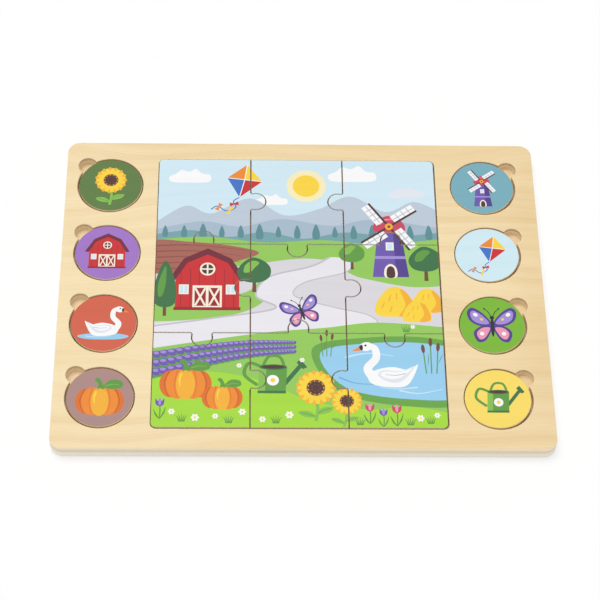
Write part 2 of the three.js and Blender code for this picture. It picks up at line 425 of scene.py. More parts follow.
def eased_edge(low, high, low_ease, high_ease, ink_run=0.0):
    """An edge's profile from the underside up, as rows of inset and height.

    A quarter round, the upright wall, a second quarter round and a narrow flat rim. Where ink has run down
    the wall, a row more marks its end.
    """
    turn = np.linspace(0, np.pi / 2, EASE_STEPS + 1)
    foot = np.column_stack((low_ease * (1 - np.sin(turn)), low + low_ease * (1 - np.cos(turn))))
    brow = np.column_stack((high_ease * (1 - np.cos(turn)), high - high_ease * (1 - np.sin(turn))))
    rows = [foot, brow, (high_ease + RIM, high)]
    if ink_run:
        rows.insert(1, (0, high - high_ease - ink_run))
    return np.vstack(rows)


def swept_wall(outline, profile):
    """A wall on a grid: for each row of the profile, the outline set in by its inset at its height."""
    rows = [outline(inset) for inset, _ in profile]
    heights = np.repeat(profile[:, 1], len(rows[0])).reshape(len(rows), -1, 1)
    return np.concatenate((np.stack(rows), heights), axis=2)


def inside(points, outline):
    """Which points lie in a closed outline: those with an odd count of its edges on their right."""
    x, y = points[:, :1], points[:, 1:]
    (ax, ay), (bx, by) = outline.T, np.roll(outline, -1, 0).T
    rise = np.where(ay == by, 1, by - ay)
    crosses = ((ay > y) != (by > y)) & (x < ax + (y - ay) * (bx - ax) / rise)
    return np.count_nonzero(crosses, axis=1) % 2 == 1


def topmost_shape(points, drawing):
    """The number of the last shape of a drawing that holds each point, or -1 where none does."""
    found = np.full(len(points), -1)
    for number, (_, outline) in enumerate(drawing):
        near = np.flatnonzero(np.all((points > outline.min(0)) & (points < outline.max(0)), axis=1))
        found[near[inside(points[near], outline)]] = number
    return found


def facing_up(points, triangles):
    """Triangles with the clockwise ones turned round, by the sign of the cross product of two sides."""
    first, second, third = (points[triangles[:, corner]] for corner in range(3))
    across, along = second - first, third - first
    clockwise = across[:, 0] * along[:, 1] < across[:, 1] * along[:, 0]
    return np.where(clockwise[:, None], triangles[:, ::-1], triangles)


def flat_cap(rings, drawing):
    """A flat face between rings, split along the lines of a drawing by a constrained Delaunay triangulation.

    Returns the points that the drawing adds, the triangles (ring points first, then the added ones), and the
    added points on each ring edge that the drawing crosses, in order along it. A triangle belongs to the face
    where an odd count of the rings holds its centre.
    """
    loops = [*rings, *(outline for _, outline in drawing)]
    sizes = np.array([len(loop) for loop in loops])
    ends = np.cumsum(sizes)
    following = np.arange(ends[-1]) + 1
    following[ends - 1] = ends - sizes
    ring_count = ends[len(rings) - 1]
    corners = [Vector(point) for point in np.vstack(loops) / MM]
    edges = np.column_stack((np.arange(ends[-1]), following)).tolist()
    split_up = delaunay_2d_cdt(corners, edges, [], 0, DRAWING_TOLERANCE)
    points, edges, triangles, point_ids, edge_ids, _ = split_up

    points = np.array(points) * MM
    triangles = np.array(triangles)
    centres = points[triangles].mean(1)
    kept = np.sum([inside(centres, ring) for ring in rings], axis=0) % 2 == 1
    triangles = facing_up(points, triangles[kept])

    source = np.array([min(ids, default=ring_count) for ids in point_ids])
    used = np.zeros(len(points), bool)
    used[triangles] = True
    added = np.flatnonzero(used & (source >= ring_count))
    number = source.copy()
    number[added] = ring_count + np.arange(len(added))

    split = {}
    for edge, ids in zip(edges, edge_ids):
        ring_edge = min(ids, default=ring_count)
        if ring_edge < ring_count:
            found = split.setdefault(ring_edge, set())
            found.update(point for point in edge if source[point] >= ring_count)
    start = np.vstack(rings)
    crossings = {
        edge: number[sorted(found, key=lambda point: np.linalg.norm(points[point] - start[edge]))]
        for edge, found in split.items() if found
    }
    return points[added], number[triangles], crossings


def closed_bands(grid):
    """The faces of a wall's grid of point numbers: each cell's four corners, with every row closed."""
    low, high = grid[:-1], grid[1:]
    return np.stack((low, np.roll(low, -1, 1), np.roll(high, -1, 1), high), -1).reshape(-1, 4)


def cell_rows(grids):
    """How many rows of cells lie below each cell of the walls, and how many lie above it under the rim."""
    below = [np.repeat(np.arange(len(grid) - 2), grid.shape[1]) for grid in grids]
    above = [rows.max() - rows for rows in below]
    return np.concatenate(below), np.concatenate(above)


def rim_faces(low, low_next, high, high_next, crossings):
    """The faces of a flat rim: one for each ring edge, with the drawing's crossings as more corners of it."""
    plain = np.column_stack((low, low_next, high_next, high))
    whole = np.ones(len(plain), bool)
    whole[list(crossings)] = False
    many_sided = [
        [low[edge], low_next[edge], high_next[edge], *found[::-1], high[edge]]
        for edge, found in crossings.items()
    ]
    return plain[whole].tolist() + many_sided


def strip_map(wall, left, width, low, height):
    """Map corners of a wall's cells: across by the way round the wall, up by the way over its profile."""
    steps = np.linalg.norm(np.roll(wall[0], -1, 0) - wall[0], axis=1)
    rises = np.linalg.norm(np.diff(wall[:-1, 0], axis=0), axis=1)
    u = left + width * np.concatenate(((0,), np.cumsum(steps))) / steps.sum()
    v = low + height * np.concatenate(((0,), np.cumsum(rises))) / rises.sum()
    grid = np.stack(np.meshgrid(u, v), -1)
    cells = (grid[:-1, :-1], grid[:-1, 1:], grid[1:, 1:], grid[1:, :-1])
    return np.stack(cells, 2).reshape(-1, 2)


def plane_map(points, corner, share):
    """Map corners of flat faces: the plan seen from above, scaled to a share of the map."""
    low, high = points.min(0)[:2], points.max(0)[:2]
    return corner + share * (points[:, :2] - low) / (high - low).max()


def walls_map(walls, left, width, low, height):
    """Map corners of all walls' cells: strips side by side, each as wide as its wall's share of length."""
    spans = np.array([np.linalg.norm(np.diff(wall[0], axis=0), axis=1).sum() for wall in walls])
    widths = width * spans / spans.sum()
    lefts = left + np.cumsum(widths) - widths
    return np.vstack([strip_map(wall, *strip, low, height) for wall, *strip in zip(walls, lefts, widths)])


# Where the faces of a piece lie on its map: corner and share of the top and of the underside, and the strip
# of the walls as its left end, width, foot and height
WALLS_STRIP = (0.01, 0.98, 0.01, 0.16)
PRINT_MAP = {"top": ((0.01, 0.19), 0.80), "under": ((0.83, 0.19), 0.16), "walls": WALLS_STRIP}
BOARD_MAP = {"top": ((0.01, 0.19), 0.48), "under": ((0.51, 0.19), 0.48), "walls": WALLS_STRIP}


def print_inks(mesh, points, faces, inked, drawing, cover):
    """Keeps each face's ink in the colour attribute "print", with alpha 0 on bare wood.

    An inked face takes the drawing's topmost shape at its middle, and the alpha is cut down to the cover at
    each of its corners.
    """
    inks = settings().inks
    palette = np.array([opaque(getattr(inks, ink_name)) for ink_name, _ in drawing] + [(0, 0, 0, 0)])
    counts = np.array([len(face) for face in faces])
    corners = points[np.concatenate(faces)]
    middles = np.add.reduceat(corners, np.cumsum(counts) - counts) / counts[:, None]
    face_inks = np.full(len(faces), -1)
    face_inks[inked] = topmost_shape(middles[inked, :2], drawing)
    corner_inks = np.repeat(palette[face_inks], counts, axis=0)
    if cover:
        corner_inks[:, 3] *= cover(corners)
    printed = mesh.attributes.new("print", "FLOAT_COLOR", "CORNER")
    printed.data.foreach_set("color", corner_inks.ravel())


def solid(name, walls, first_cut, drawing, face_map, cover=None):
    """A closed mesh from swept walls: cells between each wall's rows, a flat rim, and a cap at both ends.

    The first wall goes round the outside anticlockwise, the others round holes clockwise. The top cap is
    split along the lines of the drawing, whose inks lie on the cap, the rim, the eased edge beside it and the
    wall down to where ink has run. The attribute "saw cut" is 1 below the upper eased edge of the walls from
    the first cut one on.
    """
    starts = np.cumsum([0] + [wall[..., 0].size for wall in walls])
    grids = [
        start + np.arange(wall[..., 0].size).reshape(wall.shape[:2]) for start, wall in zip(starts, walls)
    ]
    low, low_next, high, high_next, foot = (
        np.concatenate([np.roll(grid[row], shift) for grid in grids])
        for row, shift in ((-2, 0), (-2, -1), (-1, 0), (-1, -1), (0, 0))
    )
    added, top, crossings = flat_cap([wall[-1, :, :2] for wall in walls], drawing)
    _, under, _ = flat_cap([wall[0, :, :2] for wall in walls], ())
    level = walls[0][-1, 0, 2]
    points = np.vstack([wall.reshape(-1, 3) for wall in walls] + [np.insert(added, 2, level, axis=1)])
    top_numbers = np.concatenate((high, starts[-1] + np.arange(len(added))))
    crossings = {edge: top_numbers[found] for edge, found in crossings.items()}

    cells = np.vstack([closed_bands(grid[:-1]) for grid in grids])
    rims = rim_faces(low, low_next, high, high_next, crossings)
    tops = top_numbers[top]
    unders = foot[under][:, ::-1]
    faces = [*cells.tolist(), *rims, *tops.tolist(), *unders.tolist()]
    mesh = bpy.data.meshes.new(name)
    mesh.from_pydata(points, [], faces)
    mesh.polygons.foreach_set("use_smooth", np.arange(len(faces)) < len(cells) + len(rims))

    rows_below, rows_above = cell_rows(grids)
    on_top = np.ones(len(rims) + len(tops))
    inked = np.concatenate((rows_below > EASE_STEPS, on_top, np.zeros(len(unders))))
    print_inks(mesh, points, faces, np.flatnonzero(inked), drawing, cover)
    sawn = np.concatenate([np.full(grid[:-2].size, number >= first_cut) for number, grid in enumerate(grids)])
    saw_cuts = np.concatenate((sawn & (rows_above >= EASE_STEPS), np.zeros(len(faces) - len(cells))))
    mesh.attributes.new("saw cut", "FLOAT", "FACE").data.foreach_set("value", saw_cuts)

    top_map = plane_map(points, *face_map["top"])[np.concatenate((*rims, tops.ravel())).astype(int)]
    under_map = plane_map(points, *face_map["under"])[unders.ravel()]
    corners = np.vstack((walls_map(walls, *face_map["walls"]), top_map, under_map))
    mesh.uv_layers.new(name="OFBake").data.foreach_set("uv", corners.ravel())
    mesh.validate()
    return bpy.data.objects.new(name, mesh)


def seat(piece, node, body, material):
    """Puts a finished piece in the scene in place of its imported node, on the node's body."""
    piece.data.materials.append(material)
    bpy.context.scene.collection.objects.link(piece)
    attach(piece, body)
    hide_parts(node)


# Drawing: flat shapes as pairs of an ink and an outline, in millimetres

def turned(points, degrees):
    """Points turned about the origin: the plane rotation by that angle."""
    turn = np.radians(degrees)
    return points @ np.array(((np.cos(turn), np.sin(turn)), (-np.sin(turn), np.cos(turn))))


def oval(x, y, width, height, turn=0.0, steps=40):
    """An ellipse: its centre plus half the width times cosine and half the height times sine, then turned."""
    return turned(arc((0, 0), 0.5, 0, 2 * np.pi, steps)[:-1] * (width, height), turn) + (x, y)


def panel(x, y, width, height, turn=0.0):
    """A rectangle about its centre, turned."""
    corners = np.array(((-1, -1), (1, -1), (1, 1), (-1, 1))) * (width / 2, height / 2)
    return turned(corners, turn) + (x, y)


def facets(*points):
    """A straight-sided outline through the points."""
    return np.array(points, float)


def cubics(before, start, end, after, steps):
    """Catmull-Rom cubics from each start to its end, at even parameters."""
    t = np.linspace(0, 1, steps, endpoint=False)[None, :, None]
    a, b, c, d = (points[:, None, :] for points in (before, start, end, after))
    square = a - 2.5 * b + 2 * c - d / 2
    cube = 1.5 * (b - c) + (d - a) / 2
    return (b + (c - a) / 2 * t + square * t**2 + cube * t**3).reshape(-1, 2)


def blob(*points, steps=7):
    """A closed smooth outline: Catmull-Rom cubics through the points and back to the first."""
    knots = np.array(points, float)
    return cubics(np.roll(knots, 1, 0), knots, np.roll(knots, -1, 0), np.roll(knots, -2, 0), steps)


def curve(*points, steps=7):
    """An open smooth line: Catmull-Rom cubics through the points, with both ends doubled."""
    knots = np.array(points, float)
    padded = np.vstack((knots[:1], knots, knots[-1:]))
    return np.vstack((cubics(padded[:-3], padded[1:-2], padded[2:-1], padded[3:], steps), knots[-1:]))


def stroke(pen, *points, tip=None, steps=7):
    """A pen stroke: a smooth line set off by half the pen's width to both sides, thinning to the tip."""
    middle = curve(*points, steps=steps)
    along = np.gradient(middle, axis=0)
    across = along[:, ::-1] * (-1, 1) / np.linalg.norm(along, axis=1, keepdims=True)
    half = np.linspace(pen, pen if tip is None else tip, len(middle))[:, None] / 2
    return np.vstack((middle + across * half, (middle - across * half)[::-1]))


def ground(*points, foot):
    """Land under a smooth skyline, down to a level foot."""
    skyline = curve(*points)
    return np.vstack((skyline, (skyline[-1, 0], foot), (skyline[0, 0], foot)))


def place(shapes, x, y, scale=1.0, turn=0.0, mirror=1):
    """The shapes of a motif, mirrored, scaled, turned and moved."""
    return [
        (ink_name, turned(points * (mirror * scale, scale), turn) + (x, y)) for ink_name, points in shapes
    ]


def ring(shape, count, radius, start=0.0):
    """Copies of a shape, moved out by a radius and spread evenly round the origin."""
    return [turned(shape + (radius, 0), start + 360 / count * number) for number in range(count)]


# Motifs, each about its own middle and within the face of a disc

def sunflower():
    """A sunflower on a stem with two leaves."""
    head = (0, 3.6)
    petal = oval(0, 0, 6.4, 3.0, steps=24)
    shapes = [
        ("stem_green", stroke(1.5, (0.2, -2), (0.7, -8), (-0.2, -14))),
        ("stem_green", blob((0.2, -10.4), (2.8, -7.0), (8.0, -6.6), (6.0, -9.4))),
        ("leaf_green", stroke(0.35, (0.9, -9.8), (3.6, -8.2), (6.8, -7.2))),
        ("stem_green", blob((0.2, -12.0), (-3.4, -8.8), (-8.2, -9.2), (-5.6, -11.6))),
        ("leaf_green", stroke(0.35, (-0.8, -11.5), (-3.8, -10.4), (-7.2, -9.6))),
    ]
    shapes += [("amber", leaf + head) for leaf in ring(petal, 15, 6.2)]
    shapes += [("yellow", leaf + head) for leaf in ring(petal * (0.92, 0.86), 15, 5.8, 12)]
    shapes += [("bark", oval(0, 3.6, 8.6, 8.6)), ("cocoa", oval(0, 3.6, 6.4, 6.4))]
    shapes += [("amber", seed + head) for seed in ring(oval(0, 0, 0.7, 0.7, steps=10), 11, 3.7)]
    shapes += [("bark", seed + head) for seed in ring(oval(0, 0, 0.8, 0.8, steps=10), 7, 1.9)]
    return shapes


def barn():
    """A gambrel barn with a double door, a round loft window and two small windows."""
    roof_top = ((-11.6, 0.6), (-7.0, 8.4), (0, 12.0), (7.0, 8.4), (11.6, 0.6))
    roof_foot = ((9.8, 0.2), (6.0, 6.8), (0, 9.8), (-6.0, 6.8), (-9.8, 0.2))
    shapes = [
        ("red", facets((-9.4, -9.6), (9.4, -9.6), (9.4, 1.6), (6.0, 7.2), (0, 10), (-6.0, 7.2), (-9.4, 1.6))),
        ("dark_red", panel(0, -9.3, 19.6, 1.1)),
    ]
    shapes += [("dark_red", panel(x, -2.2, 0.22, 13.6)) for x in (-7.8, -5.0, 5.0, 7.8)]
    shapes += [("dark_red", panel(x, -0.6, 0.22, 14.0)) for x in (-2.4, 2.4)]
    shapes += [
        ("plum", facets(*roof_top, *roof_foot)),
        ("cream", oval(0, 4.6, 4.6, 4.6)),
        ("cocoa", oval(0, 4.6, 3.5, 3.5)),
        ("cream", panel(0, 4.6, 4.2, 0.5)),
        ("cream", panel(0, 4.6, 0.5, 4.2)),
        ("cream", panel(0, -5.0, 8.6, 7.6)),
    ]
    for side in (-1, 1):
        shapes += [
            ("dark_red", panel(2.05 * side, -5.2, 3.3, 6.3)),
            ("cream", stroke(0.6, (0.6 * side, -8.2), (3.5 * side, -2.2), steps=1)),
            ("cream", stroke(0.6, (3.5 * side, -8.2), (0.6 * side, -2.2), steps=1)),
            ("cream", panel(6.9 * side, -2.6, 2.9, 3.4)),
            ("pale_water", panel(6.9 * side, -2.6, 2.1, 2.6)),
            ("cream", panel(6.9 * side, -2.6, 0.35, 3.0)),
        ]
    return shapes


def swan():
    """A swan afloat, seen from the side, on a strip of water."""
    back = ((-10.6, 1.2), (-7.0, -1.0), (-1.0, 0.2), (5.0, -1.0))
    belly = ((8.4, -3.6), (6.8, -7.2), (0, -8.6), (-6.6, -7.4))
    return [
        ("water", blob((-14, -8.2), (0, -6.4), (14, -8.2), (9, -10.6), (-9, -10.6))),
        ("pale_water", stroke(0.6, (-10, -8.6), (-3, -9.3), (4, -8.6), tip=0.2)),
        ("white", blob(*back, *belly)),
        ("white", stroke(3.6, (6.4, -4.6), (8.4, -0.4), (5.2, 4.0), (5.6, 8.4), (8.6, 9.6), tip=2.4)),
        ("white", oval(8.8, 9.2, 5.0, 3.9, -12)),
        ("mist", blob((-9.4, 0.6), (-4.0, -1.6), (2.6, -1.2), (4.6, -3.6), (0.4, -6.4), (-4.6, -5.8))),
        ("white", blob((-8.2, -0.4), (-3.4, -2.0), (2.0, -1.8), (3.6, -3.4), (0.0, -5.0), (-4.0, -4.2))),
        ("stone", stroke(0.4, (-5.8, -2.6), (-2.0, -3.4), (1.8, -3.0), tip=0.2)),
        ("orange", blob((10.8, 9.6), (12.4, 8.4), (14.2, 7.2), (11.6, 7.3), (10.4, 7.8))),
        ("soot", blob((10.4, 10.0), (11.4, 9.2), (10.9, 7.7), (10.2, 7.6), (10.0, 9.0))),
        ("soot", oval(9.0, 9.7, 0.9, 0.9, steps=14)),
    ]


def pumpkin():
    """A ribbed pumpkin with a curled stalk and a leaf."""
    shapes = [("deep_orange", oval(6.4 * side, -2.2, 10.4, 14.0)) for side in (-1, 1)]
    shapes += [("orange", oval(3.6 * side, -2.3, 10.2, 15.2)) for side in (-1, 1)]
    shapes += [("amber", oval(0, -2.4, 8.4, 15.8))]
    for side in (-1, 1):
        inner = ((3.6 * side, 5.0), (4.9 * side, -2.2), (3.6 * side, -9.4))
        outer = ((7.4 * side, 4.2), (9.4 * side, -2.2), (7.4 * side, -8.6))
        shapes += [
            ("deep_orange", stroke(0.5, *inner, tip=0.3)),
            ("burnt_orange", stroke(0.5, *outer, tip=0.3)),
        ]
    stalk = ((-1.4, 4.2), (-1.0, 7.0), (-2.8, 9.8), (-0.6, 10.4), (1.2, 7.2), (1.8, 4.2), (0, 4.8))
    return shapes + [
        ("yellow", stroke(1.2, (-1.9, 3.2), (-2.7, -0.4), (-2.4, -3.6), tip=0.4)),
        ("leaf_green", blob(*stalk)),
        ("leaf_green", blob((1.4, 5.6), (4.6, 9.4), (9.8, 9.0), (10.6, 5.8), (6.0, 4.4))),
        ("stem_green", stroke(0.45, (2.4, 6.0), (5.6, 7.0), (9.4, 6.8), tip=0.2)),
    ]


def windmill():
    """A tower mill with a round cap and four lattice sails."""
    hub = (0, 4.6)
    shapes = [
        ("violet", facets((-5.4, -13.6), (5.4, -13.6), (3.4, 3.4), (-3.4, 3.4))),
        ("deep_violet", facets((1.6, -13.6), (5.4, -13.6), (3.4, 3.4), (1.1, 3.4))),
        ("lilac", panel(0, -6.6, 9.2, 1.0)),
        ("cream", blob((-1.7, -13.6), (-1.7, -10.4), (0, -8.9), (1.7, -10.4), (1.7, -13.6), steps=5)),
        ("cocoa", blob((-1.1, -13.6), (-1.1, -10.7), (0, -9.7), (1.1, -10.7), (1.1, -13.6), steps=5)),
        ("cream", panel(0, -2.6, 2.4, 2.9)),
        ("pale_water", panel(0, -2.6, 1.6, 2.1)),
        ("crimson", blob((-4.6, 3.0), (-4.0, 6.4), (0, 8.6), (4.0, 6.4), (4.6, 3.0), (0, 2.2))),
        ("rose", stroke(0.7, (-3.0, 5.4), (-1.2, 7.0), (1.0, 7.3), tip=0.3)),
    ]
    sail = [("white", panel(6.3, 1.35, 7.8, 2.9)), ("stone", panel(6.3, 1.35, 7.2, 0.3))]
    sail += [("stone", panel(x, 1.35, 0.3, 2.5)) for x in (4.3, 6.3, 8.3)]
    sail += [("cocoa", panel(5.2, 0, 10.4, 0.7))]
    for quarter in range(4):
        shapes += place(sail, *hub, turn=35 + 90 * quarter)
    return shapes + [("amber", oval(*hub, 2.4, 2.4)), ("bark", oval(*hub, 1.0, 1.0, steps=16))]


def kite():
    """A diamond kite of four colours with a tail of bows."""
    top, left, right, foot, middle = (4.4, 12.8), (-4.4, 5.6), (11.0, 3.6), (1.0, -5.0), (3.3, 4.6)
    tail = (foot, (-1.6, -7.2), (-0.6, -10.4), (-4.6, -12.4), (-8.6, -9.8), (-11.4, -11.6))
    bow = facets((-1.9, -1.1), (0, -0.25), (1.9, -1.1), (1.9, 1.1), (0, 0.25), (-1.9, 1.1))
    shapes = [
        ("blue", stroke(0.5, *tail)),
        ("orange", facets(top, left, middle)),
        ("yellow", facets(top, middle, right)),
        ("blue", facets(left, foot, middle)),
        ("red", facets(middle, foot, right)),
        ("white", stroke(0.4, top, middle, foot, steps=1)),
        ("white", stroke(0.4, left, middle, right, steps=1)),
    ]
    bows = (("red", -1.3, -8.6, 10), ("yellow", -3.2, -12.1, 60), ("orange", -8.0, -10.2, 60))
    for ink_name, x, y, turn in bows:
        shapes += place([(ink_name, bow)], x, y, turn=turn)
    return shapes


def butterfly():
    """A butterfly with its wings spread."""
    wing = [
        ("deep_violet", blob((0.5, 0.4), (4.0, 6.4), (9.6, 10.4), (12.6, 8.0), (11.4, 2.6), (6.2, -0.6))),
        ("lilac", blob((1.6, 1.0), (4.8, 5.6), (9.2, 8.6), (11.0, 7.2), (10.0, 3.0), (6.0, 0.6))),
        ("deep_violet", blob((0.5, -0.6), (6.0, -0.8), (9.8, -4.6), (8.0, -10.0), (4.2, -9.4), (1.4, -5.0))),
        ("rose", blob((1.4, -1.6), (5.4, -1.8), (8.2, -4.8), (7.0, -8.4), (4.6, -8.0), (2.4, -4.8))),
        ("white", oval(8.4, 6.2, 2.6, 2.0, 40, steps=24)),
        ("yellow", oval(5.4, 3.4, 1.8, 1.3, 40, steps=24)),
        ("white", oval(5.6, -5.2, 2.2, 2.2, steps=24)),
        ("soot", stroke(0.4, (0.3, 4.2), (1.6, 7.6), (3.6, 9.6))),
        ("soot", oval(3.7, 9.8, 1.0, 1.0, steps=14)),
    ]
    wings = place(wing, 0, 0) + place(wing, 0, 0, mirror=-1)
    return wings + [("soot", oval(0, -1.2, 1.9, 11.6)), ("soot", oval(0, 4.4, 2.2, 2.2, steps=24))]


def watering_can():
    """A watering can with a rose on its spout and two hooped handles."""
    return [
        ("leaf_green", stroke(1.6, (-4.6, 4.4), (-10.4, 6.4), (-12.4, 0.4), (-6.6, -5.0))),
        ("leaf_green", stroke(1.4, (-4.4, 4.4), (-1.6, 9.8), (3.4, 9.6), (5.4, 4.4))),
        ("moss", facets((4.6, -7.0), (5.4, -2.6), (12.2, 6.4), (13.8, 5.2))),
        ("moss", facets((10.8, 6.8), (12.6, 8.6), (15.6, 4.4), (13.6, 3.4))),
        ("leaf_green", facets((-6.6, -9.2), (5.8, -9.2), (6.6, 4.4), (-5.8, 4.4))),
        ("stem_green", facets((-6.6, -9.2), (-3.4, -9.2), (-2.6, 4.4), (-5.8, 4.4))),
        ("moss", oval(0.4, 4.4, 12.4, 2.8)),
        ("cocoa", oval(0.4, 4.5, 10.4, 1.8)),
        ("moss", panel(-0.3, -8.4, 12.6, 1.2)),
        ("white", oval(0.2, -2.4, 5.4, 5.4)),
        ("yellow", oval(0.2, -2.4, 2.2, 2.2, steps=20)),
    ]


# Motif and size on each disc, from the back to the front
DISC_MOTIFS = {
    "left": ((sunflower, 1.1), (barn, 1.2), (swan, 1.08), (pumpkin, 1.25)),
    "right": ((windmill, 1.08), (kite, 1.1), (butterfly, 1.2), (watering_can, 1.05)),
}


# Smaller things in the picture

def cloud(ink_name):
    """A flat-bottomed cloud of four round heaps."""
    heaps = ((-10.4, 0.4), (-7.2, 2.2), (-4.6, 4.6), (-0.6, 3.8), (2.8, 5.4), (5.6, 2.6), (9.6, 1.6))
    return [(ink_name, blob((-9, -2.6), *heaps, (9.2, -2.4), (0, -3.0)))]


def broad_tree(crown, light):
    """A broad tree with a lighter side to its crown."""
    left = ((-6.6, -3.6), (-8.2, 0.8), (-5.8, 5.4), (-1.2, 8.8))
    right = ((3.8, 7.4), (7.6, 3.4), (7.4, -2.0), (3.2, -5.2))
    return [
        ("bark", facets((-1.0, -11), (1.0, -11), (0.7, -2), (-0.7, -2))),
        (crown, blob(*left, *right, (-2.4, -5.4))),
        (light, blob((-5.0, 0.4), (-4.2, 4.6), (-0.6, 7.0), (2.4, 5.8), (0.4, 3.2), (-1.8, 0.6))),
    ]


def slim_crown():
    """The crown of a slim tree."""
    right = np.array(((2.0, 7.0), (4.0, -1.0), (3.6, -8.0)))
    left = right[::-1] * (-1, 1)
    return blob(*left, (0, 10.4), *right, (0, -9.8))


def slim_tree(crown, light):
    """A slim tree with a lighter side to its crown."""
    return [
        ("bark", panel(0, -11, 1.2, 5)),
        (crown, slim_crown()),
        (light, blob((-2.4, -5.0), (-2.6, 0.0), (-1.0, 6.0), (0.2, 7.8), (0.2, 1.0), (-0.8, -4.4))),
    ]


def daisy():
    """A small white flower from above."""
    petals = ring(oval(0, 0, 1.9, 1.3, steps=12), 6, 1.2)
    return [("white", petal) for petal in petals] + [("yellow", oval(0, 0, 1.3, 1.3, steps=12))]


def tulip(bloom, light):
    """A tulip on a stalk with two long leaves."""
    rim = ((-2.9, 5.4), (-1.4, 3.6), (0, 5.8), (1.4, 3.6), (2.9, 5.4))
    return [
        ("leaf_green", stroke(0.8, (0, -10), (0.3, -4), (0, 1))),
        ("leaf_green", blob((0, -10), (2.2, -5), (4.0, -0.6), (3.0, -6.0), steps=5)),
        ("leaf_green", blob((0, -10), (-2.2, -6), (-4.2, -2.4), (-2.8, -7.4), steps=5)),
        (bloom, blob(*rim, (2.6, 1.2), (0, -0.6), (-2.6, 1.2))),
        (light, blob((-1.0, 4.2), (0, 5.6), (1.0, 4.2), (0.8, 1.0), (0, 0.2), (-0.8, 1.0), steps=5)),
    ]


def haystack():
    """A round-topped stack of hay with loose straws."""
    left = ((-8.4, -7.0), (-9.0, -1.6), (-4.8, 5.8))
    right = ((4.8, 5.8), (9.0, -1.6), (8.4, -7.0))
    shade = ((1.6, -7.6), (4.6, -1.6), (2.4, 6.6), (5.4, 5.0), (8.6, -1.6), (8.0, -6.8))
    straws = (
        (-6.4, -3.6, -5.0, -0.4), (-3.0, 0.4, -2.0, 4.0), (-2.6, -5.4, -1.6, -2.2), (0.6, 1.4, 0.8, 4.8),
    )
    shapes = [("yellow", blob(*left, (0, 8.4), *right, (0, -8.0))), ("amber", blob(*shade))]
    return shapes + [("amber", stroke(0.6, (ax, ay), (bx, by), steps=1)) for ax, ay, bx, by in straws]


def lavender(*points):
    """A row of lavender bushes along a smooth line, smaller and closer together towards its end."""
    bushes, first_size, last_size, crowding = 28, 5.4, 2.4, 0.4
    line = curve(*points)
    way = np.linspace(0, 1, bushes)
    along = way * (1 + crowding * (1 - way)) * (len(line) - 1)
    xs, ys = (np.interp(along, np.arange(len(line)), line[:, axis]) for axis in range(2))
    shapes = []
    for x, y, size in zip(xs, ys, first_size + (last_size - first_size) * way):
        shapes += [
            ("leaf_green", oval(x, y - 0.4 * size, 1.2 * size, 0.6 * size, steps=16)),
            ("violet", oval(x, y, 1.45 * size, size, steps=18)),
            ("lilac", oval(x - 0.15 * size, y + 0.18 * size, 0.75 * size, 0.42 * size, steps=14)),
        ]
    return shapes


def reeds():
    """Three bulrushes with long leaves."""
    shapes = []
    for x, tall, lean in ((-2.6, 10, -1.2), (0, 14, 0.2), (2.6, 11, 1.4)):
        shapes += [
            ("leaf_green", stroke(0.6, (x, -6), (x + lean / 2, tall / 2 - 3), (x + lean, tall))),
            ("bark", oval(x + lean * 0.95, tall - 1.4, 1.9, 5.2, -4 * lean, steps=20)),
            ("moss", blob((x, -6), (x + 1.4, 1.0), (x + 2.6 + lean, 6.0), (x + 1.0, -0.6), steps=5)),
        ]
    return shapes


def tuft():
    """A tuft of five blades of grass."""
    return [
        ("leaf_green", stroke(1.0, (x, -2), (x * 1.6, 1.2), (x * 2.6, 4.4 - abs(x)), tip=0.1, steps=4))
        for x in (-1.6, -0.8, 0, 0.8, 1.6)
    ]


# The picture, about its middle

def sky_and_hills(left, right, back):
    """Sky with a sun, clouds and a kite, and three rows of hills with a row of trees."""
    shapes = [
        ("sky", panel(0, 0, right - left, 2 * back)),
        ("pale_yellow", oval(6, 78, 25, 25)),
        ("yellow", oval(6, 78, 17, 17)),
    ]
    clouds = (("white", -68, 84, 1.3), ("white", -16, 66, 1.0), ("white", 36, 86, 1.5), ("mist", 70, 72, 1.1))
    for ink_name, x, y, size in clouds:
        shapes += place(cloud(ink_name), x, y, size)
    far = (
        (left, 50), (-70, 62), (-54, 56), (-30, 68), (-8, 55),
        (14, 60), (34, 70), (56, 58), (74, 66), (right, 60),
    )
    middle = ((left, 44), (-60, 50), (-36, 46), (-10, 52), (22, 47), (48, 52), (right, 46))
    near = ((left, 40), (-66, 43), (-44, 38), (-20, 42), (4, 37), (30, 42), (60, 39), (right, 42))
    shapes += [
        ("far_hill", ground(*far, foot=0)),
        ("mid_hill", ground(*middle, foot=0)),
        ("teal", ground(*near, foot=0)),
    ]
    for x in np.linspace(left + 5, right - 5, 15):
        shapes += place([("deep_teal", slim_crown())], x, 42, 0.5 + 0.1 * np.sin(2.3 * x))
    return shapes + place(kite(), -38, 76, 1.45)


